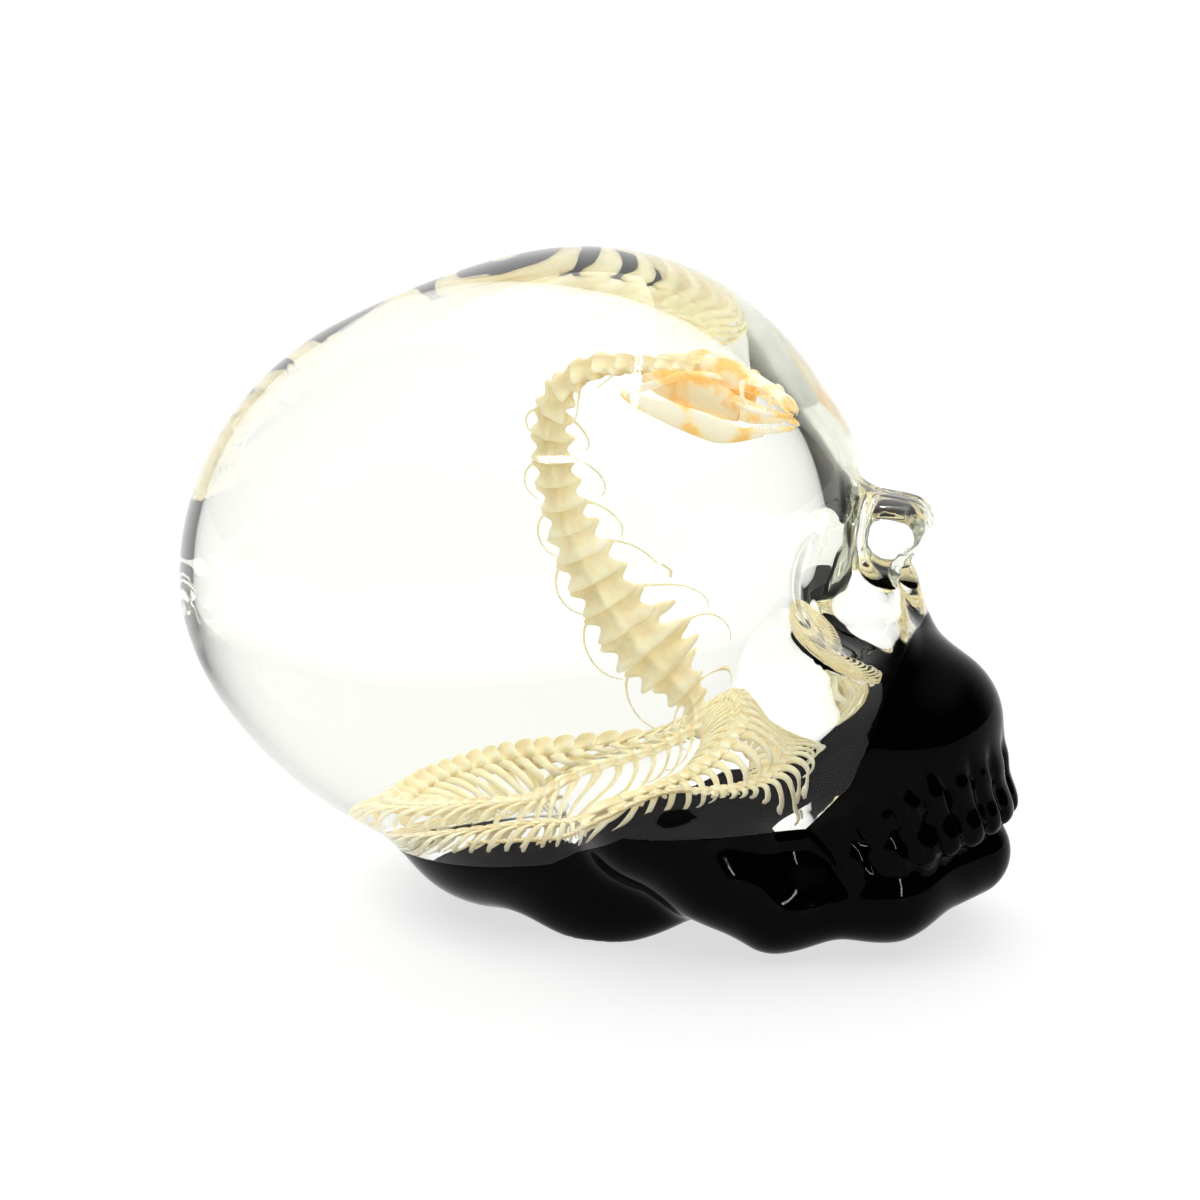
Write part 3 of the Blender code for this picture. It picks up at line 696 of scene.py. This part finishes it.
def backbone(route, look):
    """The vertebrae and ribs, one piece for each length of the body."""
    template, faces, relief = vertebra()
    edges = [0.0] + [TAIL_START * (k + 1) / (len(LENGTH_NAMES) - 1) for k in range(len(LENGTH_NAMES) - 1)]
    edges.append(route.length + 1.0)
    lengths = [Bones() for _ in LENGTH_NAMES]
    draw = random.Random(11)
    for count, s in enumerate(vertebra_stations(route)):
        bones = lengths[max(k for k in range(len(LENGTH_NAMES)) if edges[k] <= s)]
        here, side, forward, up = route.frame(s)
        axes = np.stack([side, forward, up])
        size = spine_size(s, route.length)
        # This vertebra's painted light, shifted by a little random tone.
        own = relief + draw.uniform(-0.06, 0.06)
        scale = np.array((size, stretch(size) * 1.12, size)) * draw.uniform(0.97, 1.03)
        bones.add(here + (template * scale) @ axes, faces, own)
        sparse = s < LOOPS_RIBBED and count % 2
        if RIBS_START < s < TAIL_START and not sparse:
            for sign in (-1.0, 1.0):
                points, rib_faces, rib_relief = rib(s, size, sign, draw.uniform(0.9, 1.08))
                if sign < 0.0:
                    rib_faces = [f[::-1] for f in rib_faces]
                bones.add(here + points @ axes, rib_faces, rib_relief)
    return [
        bones.piece(word + "_bones", look, "snake_" + word, "bone")
        for word, bones in zip(LENGTH_NAMES, lengths)
    ]


# ---- the snake's head -----------------------------------------------------------------------------------


def head_frame(route):
    place = Matrix.Translation(Vector(route.at(0.0)))
    return place @ Matrix.Rotation(HEAD_NOD, 4, "X")


class HeadBones(Bones):
    """Bones given in the head's own axes: distance forward from the neck, side, height."""

    def __init__(self, route):
        super().__init__()
        self.matrix = np.array(head_frame(route))

    def put(self, points, faces, relief):
        local = np.stack([points[:, 1], -points[:, 0], points[:, 2]], 1) * HEAD_SIZE
        self.add(local @ self.matrix[:3, :3].T + self.matrix[:3, 3], faces, relief)

    def rod(self, knots, radii, flatten=1.0, relief=0.6, sides=8, up=(0.0, 0.0, 1.0)):
        """A bone along knots, with a radius at each of them."""
        path = catmull_rom(knots, 4)
        radius = np.interp(np.arange(len(path)) / 4.0, np.arange(len(radii)), radii)
        radius[0] *= 0.55
        radius[-1] *= 0.55
        points, faces = tube(path, radius, sides, flatten, up)
        self.put(points, faces, relief)

    def mass(self, sections, relief=0.5, sides=20):
        """A rounded bone through oval sections: distance forward, side, height, half width, half height."""
        run = catmull_rom(sections, 3)
        angles = 2.0 * math.pi * np.arange(sides) / sides
        rings = []
        for along, side, height, half_width, half_height in run:
            across = np.cos(angles) * half_width
            over = np.sin(angles) * half_height
            rings.append(np.stack([np.full(sides, along), side + across, height + over], 1))
        points, faces = rings_to_form(rings)
        # Painted light from above: the higher points of each bone are painted lighter.
        top = np.clip((points[:, 2] - points[:, 2].min()) / np.ptp(points[:, 2]), 0, 1)
        self.put(points, faces, relief * (0.7 + 0.5 * top))

    def tooth(self, root, tip, radius):
        root, tip = np.array(root, float), np.array(tip, float)
        middle = root * 0.45 + tip * 0.55 + np.array((0.07, 0.0, 0.0))
        radii = [radius, radius * 0.65, radius * 0.12]
        points, faces = tube([root, middle, tip], radii, 6, 1.0, (1.0, 0.0, 0.0))
        self.put(points, faces, 0.95)

    def tooth_row(self, start, end, count, length, radius, drop=-1.0):
        """Teeth that hang from a bar, or stand on it where drop is 1, all curving back."""
        start, end = np.array(start, float), np.array(end, float)
        for k in range(count):
            root = start + (end - start) * k / (count - 1)
            size = length * (0.85 + 0.3 * math.sin(k * 1.7))
            self.tooth(root, root + np.array((-0.35 * size, 0.0, drop * size)), radius)


def skull_bones(route, look):
    """Braincase, roof and snout, the rings round the eyes and nostrils, and the bars that carry the jaws."""
    bones = HeadBones(route)
    bones.mass((
        (0.2, 0.0, 0.2, 0.7, 0.6),
        (0.9, 0.0, 0.5, 1.35, 1.0),
        (2.2, 0.0, 0.8, 1.85, 1.35),
        (3.8, 0.0, 0.95, 2.0, 1.45),
        (5.2, 0.0, 0.95, 1.5, 1.2),
        (6.2, 0.0, 0.85, 1.05, 0.95),
    ), relief=0.45)
    bones.mass((
        (5.4, 0.0, 1.35, 1.5, 0.55),
        (6.4, 0.0, 1.5, 1.35, 0.42),
        (7.8, 0.0, 1.45, 1.15, 0.38),
        (9.0, 0.0, 1.2, 1.3, 0.40),
        (10.4, 0.0, 0.85, 1.15, 0.42),
        (11.6, 0.0, 0.5, 0.8, 0.42),
        (HEAD_LENGTH, 0.0, 0.2, 0.4, 0.3),
    ), relief=0.75)
    for sign in (-1.0, 1.0):
        bones.mass((
            (-4.6, sign * 2.2, -1.6, 0.3, 0.5),
            (-2.6, sign * 2.0, -1.6, 0.8, 1.5),
            (0.4, sign * 1.9, -1.5, 1.0, 2.1),
            (3.4, sign * 1.9, -1.6, 0.9, 2.0),
            (5.4, sign * 2.0, -2.0, 0.5, 1.2),
        ), relief=0.4)
    keel = ((6.0, 0.0, -0.1), (8.0, 0.0, -0.25), (10.2, 0.0, -0.2), (11.9, 0.0, -0.1))
    bones.rod(keel, (0.4, 0.3, 0.35, 0.4), 0.6)
    for sign in (-1.0, 1.0):
        eye_back = ((5.5, sign * 1.3, 1.6), (5.7, sign * 2.1, 1.1),
                    (6.0, sign * 2.5, 0.1), (6.3, sign * 2.4, -0.7))
        eye_front = ((8.8, sign * 1.1, 1.4), (9.1, sign * 1.8, 0.9),
                     (9.2, sign * 2.0, 0.0), (9.0, sign * 1.95, -0.6))
        nostril = ((9.6, sign * 0.8, 1.0), (10.7, sign * 1.35, 0.5),
                   (11.6, sign * 1.1, -0.1), (11.9, sign * 0.6, -0.5))
        floor_bar = ((6.1, sign * 2.3, -0.8), (7.6, sign * 2.35, -0.75), (9.0, sign * 1.95, -0.6))
        bones.rod(eye_back, (0.34, 0.28, 0.26, 0.3), 0.8, 0.9)
        bones.rod(eye_front, (0.4, 0.34, 0.3, 0.3), 0.8, 0.9)
        bones.rod(nostril, (0.3, 0.26, 0.24, 0.26), 0.8, 0.85)
        bones.rod(floor_bar, (0.26, 0.24, 0.26), 0.8, 0.85)
        temple_bar = ((3.4, sign * 1.9, 1.2), (1.6, sign * 2.3, 1.2), (-0.3, sign * 2.7, 0.7))
        bones.rod(temple_bar, (0.36, 0.4, 0.34), 0.7, 0.8)
        jaw_strut = ((-0.2, sign * 2.7, 0.8), (-2.4, sign * 2.95, -0.9), (-5.2, sign * 3.0, -2.9))
        bones.rod(jaw_strut, (0.5, 0.36, 0.46), 0.6, 0.8, up=(0.0, 1.0, 0.0))
        palate = ((-4.0, sign * 2.6, -2.4), (0.0, sign * 1.7, -1.25), (4.0, sign * 1.15, -1.0),
                  (7.0, sign * 1.1, -0.95), (10.3, sign * 0.8, -0.75))
        bones.rod(palate, (0.22, 0.3, 0.34, 0.28, 0.2), 0.6, 0.7)
        bones.tooth_row((3.0, sign * 1.3, -1.2), (10.0, sign * 0.85, -0.95), 13, 0.5, 0.1)
    return bones.piece("skull_bones", look, "snake_skull", "head_bone")


def upper_jaw(route, sign, word, look):
    bones = HeadBones(route)
    bar = ((3.6, sign * 2.1, -0.95), (6.2, sign * 2.4, -0.95), (8.8, sign * 2.1, -0.85),
           (10.6, sign * 1.5, -0.75), (HEAD_LENGTH - 0.5, sign * 0.7, -0.55))
    bones.rod(bar, (0.26, 0.38, 0.46, 0.4, 0.3), 0.85, 0.8)
    bones.tooth_row((6.0, sign * 2.4, -1.2), (8.8, sign * 2.1, -1.2), 6, 0.62, 0.13)
    bones.tooth_row((9.2, sign * 2.0, -1.15), (11.6, sign * 1.0, -0.9), 6, 0.6, 0.12)
    return bones.piece("upper_jaw_bones_" + word, look, "snake_upper_jaw_" + word, "head_bone")


def lower_jaw(route, sign, word, look):
    """A tall flat blade behind, and a slim toothed bar that curves in to the chin."""
    bones = HeadBones(route)
    blade = (
        (-6.2, sign * 2.95, -3.4, 0.28, 0.40),
        (-4.6, sign * 3.00, -3.8, 0.34, 0.75),
        (-1.5, sign * 3.05, -4.1, 0.30, 1.15),
        (2.0, sign * 3.05, -4.3, 0.28, 1.45),
        (5.0, sign * 2.95, -4.5, 0.26, 1.35),
        (7.2, sign * 2.70, -4.3, 0.26, 0.85),
        (8.8, sign * 2.35, -3.9, 0.24, 0.45),
    )
    bones.mass(blade, relief=0.75, sides=14)
    bar = ((6.4, sign * 2.75, -3.7), (8.8, sign * 2.3, -3.5),
           (10.6, sign * 1.55, -3.0), (12.0, sign * 0.6, -2.4))
    bones.rod(bar, (0.34, 0.40, 0.36, 0.30), 1.1, 0.85)
    bones.tooth_row((7.4, sign * 2.6, -3.25), (11.6, sign * 0.95, -2.35), 11, 0.55, 0.12, drop=1.0)
    return bones.piece("lower_jaw_bones_" + word, look, "snake_lower_jaw_" + word, "head_bone")


def head(route, look):
    pieces = [skull_bones(route, look)]
    for sign, word in ((-1.0, "right"), (1.0, "left")):
        pieces.append(upper_jaw(route, sign, word, look))
        pieces.append(lower_jaw(route, sign, word, look))
    return pieces


# ---- materials ------------------------------------------------------------------------------------------


class Look:
    """A material with one Principled shader, and short ways to add to it."""

    def __init__(self, name, **inputs):
        self.material = bpy.data.materials.new(name)
        self.material.use_nodes = True
        self.tree = self.material.node_tree
        self.shader = self.tree.nodes["Principled BSDF"]
        self.output = self.tree.nodes["Material Output"]
        for socket, value in inputs.items():
            self.shader.inputs[socket.replace("_", " ")].default_value = value

    def add(self, kind, links=(), **settings):
        """A node with its settings and inputs; a link is (input, socket to read)."""
        made = self.tree.nodes.new("ShaderNode" + kind)
        for key, value in settings.items():
            if hasattr(made, key):
                setattr(made, key, value)
            else:
                made.inputs[key.replace("_", " ")].default_value = value
        for socket, source in links:
            self.tree.links.new(source, made.inputs[socket])
        return made

    def join(self, source, socket):
        self.tree.links.new(source, self.shader.inputs[socket])

    def coordinates(self):
        return self.add("TexCoord").outputs["Object"]

    def noise(self, scale, detail=3.0, roughness=0.5, distortion=0.0):
        return self.add(
            "TexNoise", [("Vector", self.coordinates())], Scale=scale, Detail=detail, Roughness=roughness,
            Distortion=distortion,
        ).outputs["Fac"]

    def ramp(self, source, *stops):
        """Colours or greys at places from 0 to 1."""
        made = self.add("ValToRGB", [("Fac", source)])
        points = made.color_ramp.elements
        while len(points) < len(stops):
            points.new(0.5)
        for point, (at, colour) in zip(points, stops):
            point.position = at
            point.color = colour if len(colour) == 4 else (*colour, 1.0)
        return made.outputs["Color"]

    def mix(self, factor, a, b, kind="MIX"):
        made = self.add("Mix", data_type="RGBA", blend_type=kind)
        for socket, value in (("Factor", factor), ("A", a), ("B", b)):
            pin = [p for p in made.inputs if p.name == socket and p.enabled][0]
            if isinstance(value, bpy.types.NodeSocket):
                self.tree.links.new(value, pin)
            else:
                pin.default_value = value
        return [p for p in made.outputs if p.enabled][0]

    def paint_fill_light(self, colour, strength):
        """Painted fill light: the piece gives off its own colour at this strength, standing in for light
        that many small crossings in the resin scatter onto it.
        """
        self.join(colour, "Emission Color")
        self.shader.inputs["Emission Strength"].default_value = strength

    def bump(self, height, strength, distance):
        made = self.add("Bump", [("Height", height)], Strength=strength, Distance=distance)
        self.join(made.outputs["Normal"], "Normal")


def grey(value):
    return (value, value, value, 1.0)


def clear_resin():
    """Water-clear casting resin, faintly olive in its depth, with the slight waves of a polished casting."""
    look = Look("clear resin", Base_Color=(1.0, 1.0, 0.985, 1.0), Roughness=0.0, IOR=1.5,
                Transmission_Weight=1.0, Coat_Weight=0.35, Coat_Roughness=0.03)
    look.shader.inputs["Specular Tint"].default_value = grey(CLEAR_GLARE)
    look.bump(look.noise(55.0, 1.0), 0.05, 0.002)
    absorb = look.add("VolumeAbsorption", Color=(0.86, 0.90, 0.72, 1.0), Density=4.0)
    look.tree.links.new(absorb.outputs["Volume"], look.output.inputs["Volume"])
    return look.material


def black_resin():
    """Black resin in a mirror finish, with faint hazy patches and the marks of handling."""
    look = Look("black resin", Base_Color=(0.0008, 0.0008, 0.0010, 1.0), IOR=1.5, Specular_IOR_Level=0.04)
    haze = look.ramp(look.noise(70.0, 5.0, 0.6), (0.45, grey(0.03)), (0.75, grey(0.09)))
    look.join(haze, "Roughness")
    look.bump(look.noise(110.0, 3.0, 0.5), 0.08, 0.0006)
    return look.material


def black_under_clear():
    """The black resin's top, where the clear resin is cast onto it and leaves no gloss."""
    look = Look("black resin under clear", Roughness=0.9, Specular_IOR_Level=0.0)
    colour = look.ramp(look.noise(160.0, 4.0, 0.6), (0.35, grey(0.0015)), (0.8, grey(0.006)))
    look.join(colour, "Base Color")
    return look.material


def bone():
    """Ivory bone soaked in resin, hardly glossy: painted shade makes it olive-brown in its hollows, painted
    light cream on its edges, and it gives off some of its colour as painted fill light.
    """
    look = Look("bone", Roughness=0.55, Specular_IOR_Level=0.12,
                Subsurface_Weight=0.25, Subsurface_Scale=0.0012)
    look.shader.inputs["Subsurface Radius"].default_value = (1.0, 0.7, 0.35)
    relief = look.add("Attribute", attribute_name="relief").outputs["Fac"]
    # painted shade: olive-brown where the painted-light value is low, cream where it is high
    base = look.ramp(
        relief,
        (0.05, (0.52, 0.42, 0.20)),
        (0.35, (0.78, 0.69, 0.42)),
        (0.62, (0.91, 0.86, 0.64)),
        (0.95, (0.97, 0.95, 0.83)),
    )
    stain = look.ramp(look.noise(420.0, 4.0, 0.6), (0.3, (0.84, 0.79, 0.66)), (0.7, (1.0, 1.0, 1.0)))
    patches = look.ramp(look.noise(60.0, 2.0), (0.35, (0.92, 0.88, 0.80)), (0.65, (1.0, 1.0, 1.0)))
    colour = look.mix(1.0, look.mix(1.0, base, stain, "MULTIPLY"), patches, "MULTIPLY")
    look.join(colour, "Base Color")
    # painted fill light: the bone gives off some of its own colour
    look.paint_fill_light(colour, BONE_PAINTED_FILL_LIGHT)
    look.bump(look.noise(1500.0, 3.0, 0.6), 0.25, 0.0001)
    return look.material


def head_bone():
    """The head's bone: cream, with painted shade in darker tan where the painted-light value is low,
    translucent orange-tan where fat has stained it, and some of its colour given off as painted fill light.
    """
    look = Look("head bone", Roughness=0.5, Specular_IOR_Level=0.15,
                Subsurface_Weight=0.3, Subsurface_Scale=0.001)
    look.shader.inputs["Subsurface Radius"].default_value = (1.0, 0.6, 0.3)
    relief = look.add("Attribute", attribute_name="relief").outputs["Fac"]
    # painted shade: tan where the painted-light value is low, cream where it is high
    pale = look.ramp(relief, (0.2, (0.74, 0.56, 0.30)), (0.5, (0.90, 0.80, 0.55)), (0.9, (0.96, 0.92, 0.76)))
    spots = look.ramp(look.noise(230.0, 3.0, 0.55), (0.46, grey(0.0)), (0.60, grey(1.0)))
    colour = look.mix(spots, pale, look.mix(1.0, pale, (1.0, 0.72, 0.32, 1.0), "MULTIPLY"))
    look.join(colour, "Base Color")
    # painted fill light: the bone gives off some of its own colour
    look.paint_fill_light(colour, BONE_PAINTED_FILL_LIGHT)
    look.bump(look.noise(1400.0, 3.0, 0.6), 0.2, 0.0001)
    return look.material


# ---- the casting's pieces -------------------------------------------------------------------------------


def skull_form(name, voxel):
    """The whole skull in the casting frame, still in millimetres."""
    form = wrapped_form(name, skull_distance, np.array(SKULL_MIDDLE), voxel)
    set_coordinates(form.data, to_casting_frame(coordinates(form.data)))
    return form


def smooth_skin(obj):
    """Gives each point the slope of the skull's distance as its normal, also where it lies on the cut."""
    mesh = obj.data
    points = coordinates(mesh)
    normals = turned_to_casting(slope_of(skull_distance, to_skull_frame(points)))
    normals /= np.maximum(np.linalg.norm(normals, axis=1), 1e-6)[:, None]
    mesh.shade_smooth()
    mesh.normals_split_custom_set_from_vertices(normals.tolist())


def clear_piece(look):
    form = skull_form("clear_resin_casting", CLEAR_VOXEL)
    boolean(form, prism("clear_space", clear_space_outline(0.0), CUTTER_HALF_WIDTH), "INTERSECT")
    smooth_skin(form)
    form.data.materials.clear()
    form.data.materials.append(look)
    return place(in_metres(form), "clear_resin", "resin_clear")


def black_piece(outer, inner):
    form = skull_form("black_resin_casting", BLACK_VOXEL)
    boolean(form, prism("clear_space", clear_space_outline(BOND), CUTTER_HALF_WIDTH), "DIFFERENCE")
    mesh = form.data
    points = coordinates(mesh)
    inside = clear_space_depth(points)
    skin = np.abs(skull_distance(to_skull_frame(points))) < SKIN_DEPTH
    slope = turned_to_casting(slope_of(skull_distance, to_skull_frame(points)))
    points -= slope * (BOND_INSET * ((inside > BOND * 0.5) & skin))[:, None]
    set_coordinates(mesh, points)
    mesh.materials.clear()
    mesh.materials.append(outer)
    mesh.materials.append(inner)
    for polygon in mesh.polygons:
        polygon.material_index = int(all(inside[v] > BOND * 0.5 for v in polygon.vertices))
    mesh.shade_smooth()
    mesh.set_sharp_from_angle(angle=CREASE)
    return place(in_metres(form), "black_resin", "resin_black")


# ---- studio ---------------------------------------------------------------------------------------------


def camera_axes():
    a, e = VIEW_AZIMUTH, VIEW_ELEVATION
    back = Vector((math.sin(a) * math.cos(e), -math.cos(a) * math.cos(e), math.sin(e)))
    right = Vector((math.cos(a), math.sin(a), 0.0))
    return right, back.cross(right), back


def camera():
    right, up, back = camera_axes()
    aim = Vector(VIEW_TARGET) + right * VIEW_OFFSET[0] + up * VIEW_OFFSET[1]
    data = bpy.data.cameras.new("camera")
    data.sensor_width = SENSOR
    data.lens = PIXELS_PER_MM * VIEW_DISTANCE * SENSOR / FRAME_PIXELS
    data.clip_start, data.clip_end = 0.05, 20.0
    obj = new_object("camera", data)
    place_matrix = Matrix((right, up, back)).transposed().to_4x4()
    place_matrix.translation = (aim + back * VIEW_DISTANCE) * MM
    obj.matrix_world = place_matrix
    bpy.context.scene.camera = obj


def floor():
    mesh = bpy.data.meshes.new("floor")
    bm = bmesh.new()
    bmesh.ops.create_grid(bm, x_segments=1, y_segments=1, size=6.0)
    bm.to_mesh(mesh)
    bm.free()
    look = Look("pale floor", Base_Color=(0.4, 0.4, 0.4, 1.0), Roughness=0.7, Specular_IOR_Level=0.1)
    look.shader.inputs["Emission Color"].default_value = (1.0, 1.0, 1.0, 1.0)
    look.shader.inputs["Emission Strength"].default_value = FLOOR_GLOW
    mesh.materials.append(look.material)
    obj = new_object("floor", mesh)
    obj.location.z = -0.0002


def eased(tree, source, start, end, first, last):
    """A value that goes smoothly from first to last while the source goes from start to end."""
    made = tree.nodes.new("ShaderNodeMapRange")
    made.interpolation_type = "SMOOTHSTEP"
    for socket, value in (("From Min", start), ("From Max", end), ("To Min", first), ("To Max", last)):
        made.inputs[socket].default_value = value
    tree.links.new(source, made.inputs["Value"])
    return made.outputs[0]


def light_tent():
    """The world: bright above and behind, and dark on the side that the photograph is taken from."""
    world = bpy.data.worlds.new("light tent")
    world.use_nodes = True
    bpy.context.scene.world = world
    tree = world.node_tree
    nodes, links = tree.nodes, tree.links
    direction = nodes.new("ShaderNodeTexCoord").outputs["Generated"]
    back = camera_axes()[2]
    toward = nodes.new("ShaderNodeVectorMath")
    toward.operation = "DOT_PRODUCT"
    toward.inputs[1].default_value = Vector((back.x, back.y, 0.0)).normalized()
    links.new(direction, toward.inputs[0])
    split = nodes.new("ShaderNodeSeparateXYZ")
    links.new(direction, split.inputs[0])
    dark = nodes.new("ShaderNodeMath")
    dark.operation = "MULTIPLY"
    links.new(eased(tree, split.outputs["Z"], *NEAR_SIDE_HEIGHTS, 1.0, 0.0), dark.inputs[0])
    links.new(eased(tree, toward.outputs["Value"], *NEAR_SIDE_EDGES, 0.0, 1.0), dark.inputs[1])
    mix = nodes.new("ShaderNodeMix")
    mix.data_type = "RGBA"
    pins = {p.name: p for p in mix.inputs if p.enabled}
    pins["A"].default_value = (1.0, 1.0, 1.0, 1.0)
    pins["B"].default_value = NEAR_SIDE
    links.new(dark.outputs[0], pins["Factor"])
    background = nodes["Background"]
    background.inputs["Strength"].default_value = TENT_LIGHT
    links.new([p for p in mix.outputs if p.enabled][0], background.inputs["Color"])


def lamp_rows():
    """Small lamps in double rows over the casting and beside it, which show only as mirror images."""
    bm = bmesh.new()
    for start, end, count in LAMP_ROWS:
        start, end = Vector(start), Vector(end)
        along = (end - start).normalized()
        across = along.cross(start).normalized()
        for k in range(count):
            for offset in (0.0, LAMP_ROW_GAP):
                middle = start.lerp(end, (k + 0.5 * (offset > 0.0)) / count) + across * offset
                sides = (along + across, along - across, -along - across, across - along)
                bm.faces.new([bm.verts.new((middle + side * LAMP_SIZE / 2.0) * MM) for side in sides])
    mesh = bpy.data.meshes.new("lamp_rows")
    bm.to_mesh(mesh)
    bm.free()
    look = Look("lamps", Base_Color=(0.0, 0.0, 0.0, 1.0), Specular_IOR_Level=0.0)
    look.shader.inputs["Emission Color"].default_value = (1.0, 1.0, 1.0, 1.0)
    look.shader.inputs["Emission Strength"].default_value = LAMP_STRENGTH
    mesh.materials.append(look.material)
    obj = new_object("lamp_rows", mesh)
    obj.visible_camera = False
    obj.visible_diffuse = False
    obj.visible_transmission = False
    obj.visible_shadow = False


def area_light(name, at, target, size, power):
    data = bpy.data.lights.new(name, "AREA")
    data.shape = "RECTANGLE"
    data.size, data.size_y = size
    data.energy = power
    obj = new_object(name, data)
    obj.location = at
    obj.rotation_euler = (Vector(target) - Vector(at)).to_track_quat("-Z", "Y").to_euler()


def studio():
    camera()
    floor()
    light_tent()
    lamp_rows()
    area_light("soft light above", (0.25, 0.15, 0.75), (0.0, 0.0, 0.04), (0.7, 0.7), 2.5)
    scene = bpy.context.scene
    scene.view_settings.view_transform = "Standard"
    scene.cycles.max_bounces = 24
    scene.cycles.transmission_bounces = 20
    scene.cycles.glossy_bounces = 12
    scene.cycles.diffuse_bounces = 4


# ---- all of it ------------------------------------------------------------------------------------------


def main():
    studio()
    route = Route()
    clear_piece(clear_resin())
    black_piece(black_resin(), black_under_clear())
    backbone(route, bone())
    head(route, head_bone())


main()
